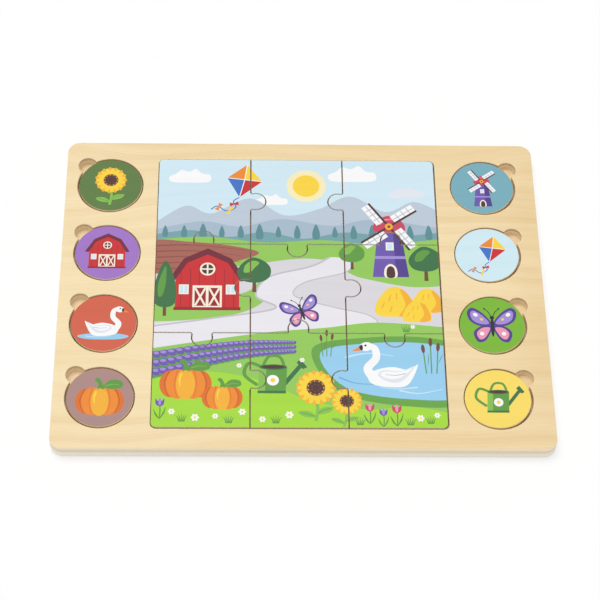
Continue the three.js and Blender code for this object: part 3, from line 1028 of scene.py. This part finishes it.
def fields_and_lane(left, right, front):
    """Grass, a ploughed field, and a lane that winds over a pale yard."""
    grass = ((left, 36), (-56, 38), (-20, 34), (16, 36), (50, 33), (right, 37))
    field = ((left - 6, 34), (-66, 34), (-40, 31), (-24, 26), (-40, 19), (-66, 13), (left - 6, 10))
    shapes = [("new_grass", ground(*grass, foot=front)), ("earth", blob(*field))]
    for row in range(5):
        y = 31 - 4.4 * row
        furrow = ((left - 2, y), (-64, y + 0.6), (-31 - 2.2 * row, y - 3.2))
        shapes.append(("dark_earth", stroke(1.1, *furrow, tip=0.3)))
    hill = ((left, 10), (-62, 12), (-30, 17), (6, 22), (40, 17), (66, 19), (right, 16))
    verge = ((left, -44), (-54, -38), (-16, -32), (16, -29), (48, -25), (right, -28))
    far_side = ((left - 12, -30), (-50, -22), (-14, -15), (-26, -6), (-18, 8), (8, 16), (20, 23))
    near_side = ((34, 20), (30, 12), (4, 4), (-2, -6), (22, -14), (44, -20), (46, -28), (12, -30), (-40, -38))
    mill_green = ((28, 17), (50, 20), (74, 19), (right + 8, 14), (right + 8, 4), (72, 1), (46, 6), (34, 10))
    barn_green = (
        (left - 8, -8), (-70, -10), (-34, -4), (-22, 6), (-12, 4), (-26, -14), (-52, -22), (left - 8, -24),
    )
    return shapes + [
        ("lane", ground(*hill, foot=front)),
        ("new_grass", blob(*mill_green)),
        ("new_grass", blob(*barn_green)),
        ("pale_lane", blob(*far_side, *near_side, (left - 12, -50))),
        ("lane_edge", stroke(1.2, *far_side)),
        ("lane_edge", stroke(0.8, *near_side)),
        ("new_grass", ground(*verge, foot=front)),
    ]


def farm_and_mill():
    """The barn, the windmill, the trees beside them, haystacks and the butterfly."""
    shapes = place(windmill(), 58, 37, 2.1)
    shapes += place(broad_tree("moss", "leaf_green"), 80, 20, 1.3)
    shapes += place(broad_tree("leaf_green", "stem_green"), 34, 25, 1.0)
    shapes += place(barn(), -56, 4, 2.1)
    shapes += place(slim_tree("moss", "leaf_green"), -82, 2, 1.7)
    shapes += place(broad_tree("moss", "stem_green"), -27, 11, 1.3)
    for x, y, size in ((80, -9, 1.1), (60, -10, 1.35), (73, -17, 0.95)):
        shapes += place(haystack(), x, y, size)
    return shapes + place(butterfly(), 2, -17, 0.95, 18)


def pond(right):
    """The pond with its bank, ripples, reeds and the swan."""
    end = right + 12
    shapes = [
        ("bank", blob((8, -44), (40, -36), (80, -36), (end, -46), (end, -80), (66, -84), (24, -74))),
        ("water", blob((13, -47), (42, -40), (78, -40), (end, -48), (end, -76), (66, -79), (28, -71))),
        ("pale_water", stroke(1.2, (28, -50), (42, -47), (58, -49), tip=0.3)),
        ("pale_water", stroke(1.2, (60, -73), (72, -75), (86, -72), tip=0.3)),
        ("deep_water", stroke(1.0, (24, -64), (34, -68), (48, -69), tip=0.3)),
    ]
    shapes += place(swan()[1:], 55, -57, 1.6, mirror=-1)
    return shapes + place(reeds(), 80, -54, 1.2) + place(reeds(), 17, -44, 0.9)


def garden(left, right, front):
    """Rows of lavender, and the meadow in front with pumpkins, the watering can and flowers."""
    meadow = ((left, -66), (-60, -60), (-24, -66), (6, -80), (40, -86), (66, -84), (right, -88))
    tufts = ((66, -30), (-70, -93), (-42, -94), (-14, -94), (36, -95), (66, -95), (78, -94))
    tulips = (
        (42, -87, 0.9, "crimson"), (50, -90, 0.8, "violet"),
        (58, -88, 0.95, "crimson"), (-83, -84, 0.9, "violet"),
    )
    daisies = (
        (-76, -88, 1.0), (-62, -92, 1.2), (-50, -91, 0.9), (-34, -88, 1.1), (-22, -93, 1.0), (-6, -90, 1.2),
        (72, -92, 1.1), (82, -90, 0.9), (-36, -56, 0.8), (2, -52, 0.8), (70, -28, 0.7),
    )
    lighter = {"crimson": "rose", "violet": "lilac"}
    shapes = []
    for row in range(3):
        shapes += lavender(
            (left, -49 - 6.2 * row), (-58, -43.5 - 5.4 * row), (-30, -40 - 4.2 * row), (-3, -39.5 - 3.2 * row)
        )
    shapes.append(("meadow", ground(*meadow, foot=front)))
    for x, y in tufts:
        shapes += place(tuft(), x, y, 0.9)
    shapes += place(pumpkin(), -68, -66, 1.35) + place(pumpkin(), -46, -76, 1.05)
    shapes += place(watering_can(), -16, -63, 1.35)
    shapes += place(sunflower(), 10, -76, 1.3) + place(sunflower(), 28, -84, 1.0, -6)
    for x, y, size, bloom in tulips:
        shapes += place(tulip(bloom, lighter[bloom]), x, y, size)
    for x, y, size in daisies:
        shapes += place(daisy(), x, y, size)
    return shapes


def countryside():
    """The whole picture: sky, hills, a farm and a mill by a lane, and a pond and a garden in front."""
    right, back = (PICTURE_HIGH - PICTURE_LOW)[:2] / 2 / MM
    left, front = -right, -back
    shapes = sky_and_hills(left, right, back) + fields_and_lane(left, right, front)
    return shapes + farm_and_mill() + pond(right) + garden(left, right, front)


def laid(drawing, centre):
    """A drawing in the frame's metres, with its middle at a point of the frame."""
    return [(ink_name, points * MM + centre) for ink_name, points in drawing]


def touching(drawing, low, high):
    """The shapes of a drawing whose boxes reach into a box."""
    return [
        (ink_name, points) for ink_name, points in drawing
        if np.all(points.max(0) > low[:2]) and np.all(points.min(0) < high[:2])
    ]


# Finishes

WHITE = (1.0, 1.0, 1.0, 1.0)

# Noise in the wood: how often it changes in a metre along X, Y and Z, and its detail, and its middle value
BEND_NOISE = (6, 11, 11), 1.0
DRIFT_NOISE = (5, 16, 16), 1.0
STREAK_NOISE = (5, 170, 170), 4.0
THIN_STREAK_NOISE = (7, 900, 900), 3.0
FIBRE_NOISE = (110, 3600, 3600), 2.0
SPECK_NOISE = (420, 420, 2200), 2.0
NOISE_MIDDLE = 0.5

# How far the grain bends sideways in metres, and the growth rings: their far axis, stretch and waves
GRAIN_BEND = 0.05
RING_AXIS = (0.0, 0.03, 0.055)
RING_STRETCH = (0.16, 1.0, 1.0)
RING_WAVES = {"Scale": 30.0, "Distortion": 6.0, "Detail": 2.0, "Detail Scale": 0.4}

# What darkens the wood: the bounds between which it sets in, and its weight. The wood darkens towards the
# right; the long edges and the right end are places in the board, in metres
STREAK_TONE = (0.38, 0.82), 0.28
THIN_STREAK_TONE = (0.42, 0.80), 0.22
DRIFT_TONE = (0.25, 0.75), 0.14
RIGHTWARD_TONE = (-0.12, 0.17), 0.18
RING_WEIGHT = 0.12
LONG_EDGES = 0.06, 0.112
RIGHT_END = 0.115, 0.148
MARGIN_WEIGHT = 0.2

# How far the fibres and the streaks stand out
FIBRE_HEIGHT = 0.7
STREAK_HEIGHT = 0.3

# A board's edge: bounds of the slope between wall and face, of the core's half as a share of the thickness,
# of the specks and of the shade and light painted up a sawn wall, and the weights of core, specks and the
# pale sanded eased edges with their painted highlight
WALL_SLOPE = 0.25, 0.8
CORE_HALF = 0.17, 0.21
SPECK_BOUNDS = 0.3, 0.8
PAINTED_WALL_SHADING = 0.35, 0.95
CORE_WEIGHT = 0.7
SPECK_WEIGHT = 0.3
WEAR_AND_HIGHLIGHT = 0.65

# Where in the tree each kind of piece was cut, as a shift of the grain in metres
BASE_CUT_FROM = (0.05, 0.02, 0.11)
FRAME_CUT_FROM = (0.0, 0.0, 0.0)
PIECES_CUT_FROM = (0.31, 0.17, 0.04)

# Lacquered wood: roughness of pale wood and what darkness adds, gloss, and strength and depth of the grain
WOOD_ROUGHNESS = 0.46
DARK_ROUGHNESS = 0.12
WOOD_GLOSS = 0.3
WOOD_RELIEF = 0.25, 0.06 * MM

# Varnished print: roughness of bare edges, and what ink and dark grain add, gloss, and strength and depth of
# the grain. The grain shows through the ink as a brightness that falls with its darkness
EDGE_ROUGHNESS = 0.52
INK_ROUGHNESS = -0.14
GRAIN_ROUGHNESS = 0.08
PRINT_GLOSS = 0.25
PRINT_RELIEF = 0.18, 0.05 * MM
INK_BRIGHTNESS = 1.03
INK_GRAIN = -0.09


# Materials

def add(tree, kind, inputs=None, **options):
    """A node with its options set and its inputs joined to sockets or set to values."""
    made = tree.nodes.new(kind)
    for option, value in options.items():
        setattr(made, option, value)
    for socket, value in (inputs or {}).items():
        if isinstance(value, bpy.types.NodeSocket):
            tree.links.new(value, made.inputs[socket])
        else:
            made.inputs[socket].default_value = value
    return made


def maths(tree, operation, *values):
    """The result of a Math node."""
    return add(tree, "ShaderNodeMath", dict(enumerate(values)), operation=operation).outputs[0]


def mixed(tree, factor, first, second, mode="MIX"):
    """The colour result of a Mix node."""
    sockets = {0: factor, 6: first, 7: second}
    return add(tree, "ShaderNodeMix", sockets, data_type="RGBA", blend_type=mode).outputs[2]


def stretched_noise(tree, vector, scale, detail):
    """Noise that is stretched along the grain: its scale is set apart for each axis."""
    mapped = add(tree, "ShaderNodeMapping", {"Vector": vector, "Scale": scale}).outputs[0]
    return add(tree, "ShaderNodeTexNoise", {"Vector": mapped, "Scale": 1.0, "Detail": detail}).outputs["Fac"]


def eased(tree, value, low, high):
    """A value brought from between two bounds to between nothing and one, smoothly."""
    sockets = {"Value": value, "From Min": low, "From Max": high}
    return add(tree, "ShaderNodeMapRange", sockets, interpolation_type="SMOOTHSTEP").outputs[0]


def remainder(tree, share):
    """What a share leaves of one."""
    return maths(tree, "SUBTRACT", 1.0, share)


def new_group(name, inputs):
    """An empty node group with named inputs, and the sockets that bring them in."""
    group = bpy.data.node_groups.new(name, "ShaderNodeTree")
    for socket, kind in inputs.items():
        group.interface.new_socket(socket, in_out="INPUT", socket_type=f"NodeSocket{kind}")
    return group, group.nodes.new("NodeGroupInput").outputs


def give_out(group, outputs):
    """Makes a group's outputs, each from its name, its kind and the socket that feeds it."""
    for name, kind, _ in outputs:
        group.interface.new_socket(name, in_out="OUTPUT", socket_type=f"NodeSocket{kind}")
    add(group, "NodeGroupOutput", {name: source for name, _, source in outputs})


def wood_grain_group():
    """Pale wood with its grain along X: bent streaks, rings about a far axis, broad drift and fine fibres."""
    group, given = new_group("Pale wood grain", {
        "Vector": "Vector", "Light wood": "Color", "Dark wood": "Color", "Figure": "Float", "Fibre": "Float",
    })
    vector = given["Vector"]
    bend = maths(group, "SUBTRACT", stretched_noise(group, vector, *BEND_NOISE), NOISE_MIDDLE)
    bend = maths(group, "MULTIPLY", bend, GRAIN_BEND)
    sideways = add(group, "ShaderNodeCombineXYZ", {"Y": bend}).outputs[0]
    along = add(group, "ShaderNodeVectorMath", {0: vector, 1: sideways}, operation="ADD").outputs[0]
    drift = stretched_noise(group, vector, *DRIFT_NOISE)
    streak = stretched_noise(group, along, *STREAK_NOISE)
    thin_streak = stretched_noise(group, along, *THIN_STREAK_NOISE)
    fibre = stretched_noise(group, along, *FIBRE_NOISE)
    about_axis = {"Vector": along, "Location": RING_AXIS, "Scale": RING_STRETCH}
    axis = add(group, "ShaderNodeMapping", about_axis).outputs[0]
    waves = {"Vector": axis, **RING_WAVES}
    rings = add(group, "ShaderNodeTexWave", waves, wave_type="RINGS", rings_direction="X").outputs["Fac"]
    spot_in_board = add(group, "ShaderNodeSeparateXYZ", {0: vector}).outputs
    to_right = spot_in_board["X"]
    off_middle = maths(group, "ABSOLUTE", spot_in_board["Y"])
    margin = eased(group, off_middle, *LONG_EDGES)
    margin = maths(group, "MAXIMUM", margin, eased(group, to_right, *RIGHT_END))
    tone = maths(group, "MULTIPLY", rings, RING_WEIGHT)
    tone = maths(group, "MULTIPLY_ADD", margin, MARGIN_WEIGHT, tone)
    parts = (
        (streak, STREAK_TONE), (thin_streak, THIN_STREAK_TONE), (drift, DRIFT_TONE), (to_right, RIGHTWARD_TONE),
    )
    for part, (bounds, weight) in parts:
        tone = maths(group, "MULTIPLY_ADD", eased(group, part, *bounds), weight, tone)
    tone = maths(group, "MULTIPLY", tone, given["Figure"])
    hair = maths(group, "MULTIPLY", maths(group, "SUBTRACT", fibre, NOISE_MIDDLE), given["Fibre"])
    whole = add(group, "ShaderNodeMath", {0: tone, 1: hair}, operation="ADD", use_clamp=True).outputs[0]
    ridges = maths(group, "MULTIPLY", streak, STREAK_HEIGHT)
    give_out(group, (
        ("Colour", "Color", mixed(group, whole, given["Light wood"], given["Dark wood"])),
        ("Tone", "Float", whole),
        ("Height", "Float", maths(group, "MULTIPLY_ADD", fibre, FIBRE_HEIGHT, ridges)),
    ))
    return group


def board_edge_group():
    """What a board's edge shows: where it is upright, where it is eased, and its layers or saw cut.

    The outer eased edges are pale from sanding and carry a painted highlight. Up a sawn wall, shade and light
    are painted into the colour, which goes from the lower tone to the upper one with the height. With u for
    how far the face looks up, the eased edge is where 4u(1 - u) nears one.
    """
    group, given = new_group("Board edge", {
        "Vector": "Vector", "Underside": "Float", "Thickness": "Float",
        "Layer": "Color", "Core": "Color", "Cut": "Color", "Top shading": "Color",
    })
    normal = add(group, "ShaderNodeNewGeometry").outputs["Normal"]
    steep = add(group, "ShaderNodeSeparateXYZ", {0: normal}).outputs["Z"]
    wall = remainder(group, eased(group, maths(group, "ABSOLUTE", steep), *WALL_SLOPE))
    up = maths(group, "MAXIMUM", steep, 0.0)
    brow = maths(group, "MULTIPLY", maths(group, "MULTIPLY", up, remainder(group, up)), 4.0)
    height = add(group, "ShaderNodeSeparateXYZ", {0: given["Vector"]}).outputs["Z"]
    above = maths(group, "SUBTRACT", height, given["Underside"])
    share = maths(group, "DIVIDE", above, given["Thickness"])
    from_middle = maths(group, "ABSOLUTE", maths(group, "SUBTRACT", share, 0.5))
    core = remainder(group, eased(group, from_middle, *CORE_HALF))
    speck = eased(group, stretched_noise(group, given["Vector"], *SPECK_NOISE), *SPECK_BOUNDS)
    depth = maths(group, "MULTIPLY_ADD", core, CORE_WEIGHT, maths(group, "MULTIPLY", speck, SPECK_WEIGHT))
    layers = mixed(group, depth, given["Layer"], given["Core"])
    # Painted shade and light: a sawn wall's colour goes from its lower tone to its upper one with the height.
    painted_wall_shading = mixed(group, eased(group, share, *PAINTED_WALL_SHADING), given["Cut"], given["Top shading"])
    saw_cut = add(group, "ShaderNodeAttribute", attribute_name="saw cut").outputs["Fac"]
    give_out(group, (
        ("Wall", "Float", wall),
        # Pale sanded wood on the outer eased edges, with a painted highlight there.
        ("Worn and highlighted", "Float", maths(group, "MULTIPLY", brow, remainder(group, saw_cut))),
        ("Layers", "Color", mixed(group, saw_cut, layers, painted_wall_shading)),
    ))
    return group


def shared_group(name, make):
    """A node group by its name, made the first time that it is asked for."""
    return bpy.data.node_groups.get(name) or make()


def wood_tones(board, walls):
    """The tones of a piece, by the board that it is like and by the piece whose sawn walls it has.

    They are the light and the dark wood of the faces, the layers and the core of the edges, and the lower and
    the upper part of the sawn walls, between which shade and light are painted up the wall.
    """
    wood = settings().wood
    names = [f"{board}_{tone}" for tone in ("light", "dark", "layer", "core")]
    names += [f"{walls}_{tone}" for tone in ("cut", "scorch")]
    return [opaque(getattr(wood, name)) for name in names]


def bare_wood(tree, tones, low, high, cut_from):
    """The nodes of bare wood: grain on the faces, layers on the upright edges, and pale sanded wood on the
    eased ones.

    The eased outer edges also carry a painted highlight, and the sawn walls carry painted shade and light
    from their lower to their upper tone. Returns the colour, the tone and the height of the grain, as
    sockets.
    """
    light, dark, layer, core, cut, scorch = tones
    wood = settings().wood
    spot_in_board = add(tree, "ShaderNodeTexCoord").outputs["Object"]
    moved = add(tree, "ShaderNodeMapping", {"Vector": spot_in_board, "Location": cut_from}).outputs[0]
    grain = add(tree, "ShaderNodeGroup", {
        "Vector": moved, "Light wood": light, "Dark wood": dark, "Figure": wood.figure, "Fibre": wood.fibre,
    }, node_tree=shared_group("Pale wood grain", wood_grain_group)).outputs
    edge = add(tree, "ShaderNodeGroup", {
        "Vector": spot_in_board, "Underside": low, "Thickness": high - low,
        "Layer": layer, "Core": core, "Cut": cut, "Top shading": scorch,
    }, node_tree=shared_group("Board edge", board_edge_group)).outputs
    sided = mixed(tree, edge["Wall"], grain["Colour"], edge["Layers"])
    # Pale sanded wood with a painted highlight along the outer eased edges.
    worn_and_highlighted = maths(tree, "MULTIPLY", edge["Worn and highlighted"], WEAR_AND_HIGHLIGHT)
    return mixed(tree, worn_and_highlighted, sided, opaque(wood.worn_edge)), grain["Tone"], grain["Height"]


def new_material(name):
    """An empty node material with its shader."""
    material = bpy.data.materials.new(name)
    material.use_nodes = True
    return material, material.node_tree, material.node_tree.nodes["Principled BSDF"]


def finish_shader(tree, shader, shade, roughness, gloss, height, relief):
    """Joins a colour, a roughness and a bumped height to a shader, and sets its gloss."""
    strength, depth = relief
    bump = add(tree, "ShaderNodeBump", {"Height": height, "Strength": strength, "Distance": depth})
    tree.links.new(shade, shader.inputs["Base Color"])
    tree.links.new(roughness, shader.inputs["Roughness"])
    shader.inputs["Specular IOR Level"].default_value = gloss
    tree.links.new(bump.outputs[0], shader.inputs["Normal"])


def wood_material(name, tones, low, high, cut_from):
    """Matt-lacquered bare wood."""
    material, tree, shader = new_material(name)
    shade, tone, height = bare_wood(tree, tones, low, high, cut_from)
    rough = maths(tree, "MULTIPLY_ADD", tone, DARK_ROUGHNESS, WOOD_ROUGHNESS)
    finish_shader(tree, shader, shade, rough, WOOD_GLOSS, height, WOOD_RELIEF)
    return material


def print_material(name, tones):
    """Ink on wood under a satin varnish: the fibres show faintly through the ink, and the edges are bare."""
    material, tree, shader = new_material(name)
    shade, tone, height = bare_wood(tree, tones, PICTURE_LOW[2], PICTURE_HIGH[2], PIECES_CUT_FROM)
    ink_film = add(tree, "ShaderNodeAttribute", attribute_name="print").outputs
    fibres = maths(tree, "MULTIPLY_ADD", tone, INK_GRAIN, INK_BRIGHTNESS)
    film = mixed(tree, 1.0, ink_film["Color"], fibres, "MULTIPLY")
    inked = mixed(tree, ink_film["Alpha"], shade, film)
    rough = maths(tree, "MULTIPLY_ADD", ink_film["Alpha"], INK_ROUGHNESS, EDGE_ROUGHNESS)
    rough = maths(tree, "MULTIPLY_ADD", tone, GRAIN_ROUGHNESS, rough)
    finish_shader(tree, shader, inked, rough, PRINT_GLOSS, height, PRINT_RELIEF)
    return material


# Operators

def board_wall(low, high, low_ease, high_ease):
    """The outer wall of a board with round corners, between its lowest and highest corners."""
    radius = settings().tray.corner_radius
    profile = eased_edge(low[2], high[2], low_ease, high_ease)
    return swept_wall(lambda inset: rounded_rectangle(low, high, radius, inset), profile)


class PUZZLE_OT_base_board(bpy.types.Operator):
    """Builds the base board, which is the floor of the openings"""
    bl_idname = "puzzle.base_board"
    bl_label = "Base board"
    bl_options = {"REGISTER", "UNDO"}

    def execute(self, context):
        wall = board_wall(BASE_LOW, BASE_HIGH, settings().tray.base_ease, GLUED_EASE)
        piece = solid("base_board_finish", [wall], 1, [], BOARD_MAP)
        tones = wood_tones("base", "frame")
        material = wood_material("Base wood", tones, BASE_LOW[2], BASE_HIGH[2], BASE_CUT_FROM)
        seat(piece, "base_board", "tray", material)
        return {"FINISHED"}


class PUZZLE_OT_frame_board(bpy.types.Operator):
    """Builds the frame board with the recess, the pockets and their finger notches"""
    bl_idname = "puzzle.frame_board"
    bl_label = "Frame board"
    bl_options = {"REGISTER", "UNDO"}

    def execute(self, context):
        tray = settings().tray
        low, high = FRAME_LOW[2], FRAME_HIGH[2]
        openings = [self.recess_outline(tray, settings().pieces)]
        openings += [
            self.pocket_outline(tray, side, number + 1)
            for side, slots in DISC_SLOTS.items() for number in range(len(slots))
        ]
        hole_profile = eased_edge(low, high, FOOT_EASE, tray.recess_ease)
        walls = [board_wall(FRAME_LOW, FRAME_HIGH, GLUED_EASE, tray.frame_ease)]
        walls += [swept_wall(opening, hole_profile)[:, ::-1] for opening in openings]
        piece = solid("frame_board_finish", walls, 1, [], PRINT_MAP)
        material = wood_material("Frame wood", wood_tones("frame", "frame"), low, high, FRAME_CUT_FROM)
        seat(piece, "frame_board", "tray", material)
        return {"FINISHED"}

    @staticmethod
    def recess_outline(tray, pieces):
        """The outline of the picture's recess, as a function of its outset."""
        gap = tray.picture_gap
        off_middle = np.array(tray.picture_lean) * gap
        low = PICTURE_LOW[:2] - off_middle - gap
        high = PICTURE_HIGH[:2] - off_middle + gap
        return lambda outset: rounded_rectangle(low, high, pieces.picture_corner + gap, -outset)

    @staticmethod
    def pocket_outline(tray, side, number):
        """The outline of a disc's pocket, as a function of its outset."""
        disc_low, disc_high = node_box(f"match_disc_{side}_{number}")
        off_middle = np.array(getattr(tray, f"{side}_lean")) * tray.disc_gap
        centre = (disc_low + disc_high)[:2] / 2 - off_middle
        radius = (disc_high - disc_low)[0] / 2 + tray.disc_gap
        notch_turn = getattr(tray, f"{side}_notch")
        return lambda outset: pocket(tray, centre, radius, notch_turn, outset)


class PUZZLE_OT_jigsaw_pieces(bpy.types.Operator):
    """Builds the nine jigsaw pieces with the picture printed over them"""
    bl_idname = "puzzle.jigsaw_pieces"
    bl_label = "Jigsaw pieces"
    bl_options = {"REGISTER", "UNDO"}

    def execute(self, context):
        sizes = settings().pieces
        material = print_material("Printed picture", wood_tones("frame", "picture"))
        picture = laid(countryside(), (PICTURE_LOW + PICTURE_HIGH)[:2] / 2)
        ease = sizes.piece_ease
        profile = eased_edge(PICTURE_LOW[2], PICTURE_HIGH[2], ease, ease, sizes.ink_run)
        cover = self.print_cover(sizes)
        for row, column in PIECE_CELLS:
            node = piece_node(row, column)
            wall = swept_wall(self.stepped_outline(sizes, row, column), profile)
            drawing = touching(picture, *node_box(node))
            piece = solid(f"{node}_finish", [wall], 0, drawing, PRINT_MAP, cover)
            seat(piece, node, node, material)
        return {"FINISHED"}

    @staticmethod
    def stepped_outline(sizes, row, column):
        """The outline of a jigsaw piece in short even steps, as a function of its inset."""
        pattern = jigsaw_outline(sizes, row, column, 0)
        return lambda inset: even_steps(jigsaw_outline(sizes, row, column, inset), pattern, SIDE_STEP)

    @staticmethod
    def print_cover(sizes):
        """How far the ink covers points of a jigsaw piece: fully on top, and less and less down the walls."""
        brow = PICTURE_HIGH[2] - sizes.piece_ease
        heights = brow - sizes.ink_run, brow, PICTURE_HIGH[2]
        return lambda points: np.interp(points[:, 2], heights, (0, sizes.wall_ink, 1))


class PUZZLE_OT_match_discs(bpy.types.Operator):
    """Builds the eight discs, each with one thing from the picture"""
    bl_idname = "puzzle.match_discs"
    bl_label = "Match discs"
    bl_options = {"REGISTER", "UNDO"}

    def execute(self, context):
        sizes = settings().pieces
        material = print_material("Printed discs", wood_tones("frame", "disc"))
        for side, motifs in DISC_MOTIFS.items():
            for number, (motif, scale) in enumerate(motifs):
                node = f"match_disc_{side}_{number + 1}"
                slot = DISC_SLOTS[side][number]
                low, high = node_box(node)
                centre, radius = (low + high)[:2] / 2, (high - low)[0] / 2
                profile = eased_edge(low[2], high[2], sizes.disc_ease, sizes.disc_ease)
                wall = swept_wall(lambda inset: disc_circle(centre, radius - inset), profile)
                ground_width = 2 * radius / MM * GROUND_SPARE
                drawing = [(slot, oval(0, 0, ground_width, ground_width))] + place(motif(), 0, 0, scale)
                cover = self.print_cover(sizes, centre, radius)
                piece = solid(f"{node}_finish", [wall], 0, laid(drawing, centre), PRINT_MAP, cover)
                seat(piece, node, node, material)
        return {"FINISHED"}

    @staticmethod
    def print_cover(sizes, centre, radius):
        """How far the ink covers points of a disc: from one to nothing over a soft edge."""
        middle = centre + np.array(sizes.print_shift)
        reach = radius - sizes.print_margin

        def cover(points):
            off_middle = np.linalg.norm(points[:, :2] - middle, axis=1)
            return np.clip((reach - off_middle) / sizes.print_softness + 0.5, 0, 1)

        return cover


class PUZZLE_OT_stage(bpy.types.Operator):
    """Sets up the pale floor, the soft light and the camera"""
    bl_idname = "puzzle.stage"
    bl_label = "Stage"
    bl_options = {"REGISTER", "UNDO"}

    def execute(self, context):
        stage = settings().stage
        scene = context.scene
        scene.view_settings.view_transform = "Standard"
        self.lay_floor(scene, stage)
        self.hang_lights(scene, stage)
        self.stand_camera(scene, stage)
        return {"FINISHED"}

    @staticmethod
    def lay_floor(scene, stage):
        """A wide square just under the tray, whiter to the camera than to the tray.

        It is clear from below and to the short rays that leave the tray's underside, so that this shows.
        """
        square = panel(0, 0, FLOOR_WIDTH, FLOOR_WIDTH)
        mesh = bpy.data.meshes.new("floor")
        mesh.from_pydata(np.insert(square, 2, BASE_LOW[2] - FLOOR_PLAY, axis=1), [], [(0, 1, 2, 3)])
        material, tree, shader = new_material("Pale floor")
        shader.inputs["Base Color"].default_value = opaque(stage.floor)
        shader.inputs["Roughness"].default_value = FLOOR_ROUGHNESS
        shader.inputs["Specular IOR Level"].default_value = FLOOR_GLOSS
        rays = add(tree, "ShaderNodeLightPath").outputs
        seen = maths(tree, "MAXIMUM", rays["Is Camera Ray"], rays["Is Glossy Ray"])
        seen = maths(tree, "MAXIMUM", seen, rays["Is Transmission Ray"])
        white = add(tree, "ShaderNodeEmission", {"Color": WHITE, "Strength": 1.0}).outputs[0]
        share = maths(tree, "MULTIPLY", seen, stage.floor_glow)
        both = add(tree, "ShaderNodeMixShader", {0: share, 1: shader.outputs[0], 2: white}).outputs[0]
        near = maths(tree, "LESS_THAN", rays["Ray Length"], CLEAR_REACH)
        below = maths(tree, "MAXIMUM", near, add(tree, "ShaderNodeNewGeometry").outputs["Backfacing"])
        clear = add(tree, "ShaderNodeBsdfTransparent").outputs[0]
        whole = add(tree, "ShaderNodeMixShader", {0: below, 1: both, 2: clear}).outputs[0]
        tree.links.new(whole, tree.nodes["Material Output"].inputs["Surface"])
        mesh.materials.append(material)
        floor = bpy.data.objects.new("floor", mesh)
        scene.collection.objects.link(floor)

    @staticmethod
    def hang_lights(scene, stage):
        """Even light from all round, and a far soft lamp above the back left corner."""
        world = scene.world or bpy.data.worlds.new("Studio")
        scene.world = world
        world.use_nodes = True
        background = world.node_tree.nodes["Background"]
        background.inputs["Color"].default_value = WHITE
        background.inputs["Strength"].default_value = stage.sky_light
        lamp = bpy.data.lights.new("key", "SUN")
        lamp.angle = stage.key_spread
        lamp.energy = stage.key_light
        key = bpy.data.objects.new("key", lamp)
        key.location = stage.key_place
        key.rotation_euler = (-key.location).to_track_quat("-Z", "Y").to_euler()
        scene.collection.objects.link(key)

    @staticmethod
    def stand_camera(scene, stage):
        """The camera, turned about its view, tipped up and turned about the upright, in that order."""
        lens = bpy.data.cameras.new("camera")
        lens.sensor_width = SENSOR_WIDTH
        lens.lens = stage.lens
        camera = bpy.data.objects.new("camera", lens)
        heading = Matrix.Rotation(stage.camera_heading, 4, "Z")
        tilt = Matrix.Rotation(stage.camera_tilt, 4, "X")
        roll = Matrix.Rotation(stage.camera_roll, 4, "Z")
        camera.matrix_world = Matrix.Translation(stage.camera_place) @ heading @ tilt @ roll
        scene.collection.objects.link(camera)
        scene.camera = camera


class PUZZLE_PT_sidebar(bpy.types.Panel):
    """Lists the steps and the settings of the puzzle"""
    bl_idname = "PUZZLE_PT_sidebar"
    bl_label = "Matching puzzle"
    bl_space_type = "VIEW_3D"
    bl_region_type = "UI"
    bl_category = "Puzzle"

    def draw(self, context):
        steps = self.layout.column(align=True)
        for operator in OPERATORS:
            steps.operator(operator.bl_idname)
        puzzle = settings()
        for name in PuzzleSettings.__annotations__:
            box = self.layout.box()
            box.label(text=puzzle.bl_rna.properties[name].name)
            group = getattr(puzzle, name)
            for value in type(group).__annotations__:
                box.prop(group, value)


OPERATORS = (
    PUZZLE_OT_stage,
    PUZZLE_OT_base_board,
    PUZZLE_OT_frame_board,
    PUZZLE_OT_jigsaw_pieces,
    PUZZLE_OT_match_discs,
)
CLASSES = (
    TraySizes, PieceSizes, WoodFinish, PrintInks, StageSettings, PuzzleSettings, *OPERATORS, PUZZLE_PT_sidebar
)


def register():
    """Registers the classes and puts the settings on the scene."""
    for item in CLASSES:
        bpy.utils.register_class(item)
    bpy.types.Scene.matching_puzzle = bpy.props.PointerProperty(
        type=PuzzleSettings, name="Matching puzzle", description="Settings of the matching puzzle"
    )


def unregister():
    """Takes the settings off the scene and the classes out again."""
    del bpy.types.Scene.matching_puzzle
    for item in reversed(CLASSES):
        bpy.utils.unregister_class(item)


def main():
    """Builds the stage and the puzzle."""
    register()
    bpy.ops.puzzle.stage()
    bpy.ops.puzzle.base_board()
    bpy.ops.puzzle.frame_board()
    bpy.ops.puzzle.jigsaw_pieces()
    bpy.ops.puzzle.match_discs()


if __name__ == "__main__":
    main()
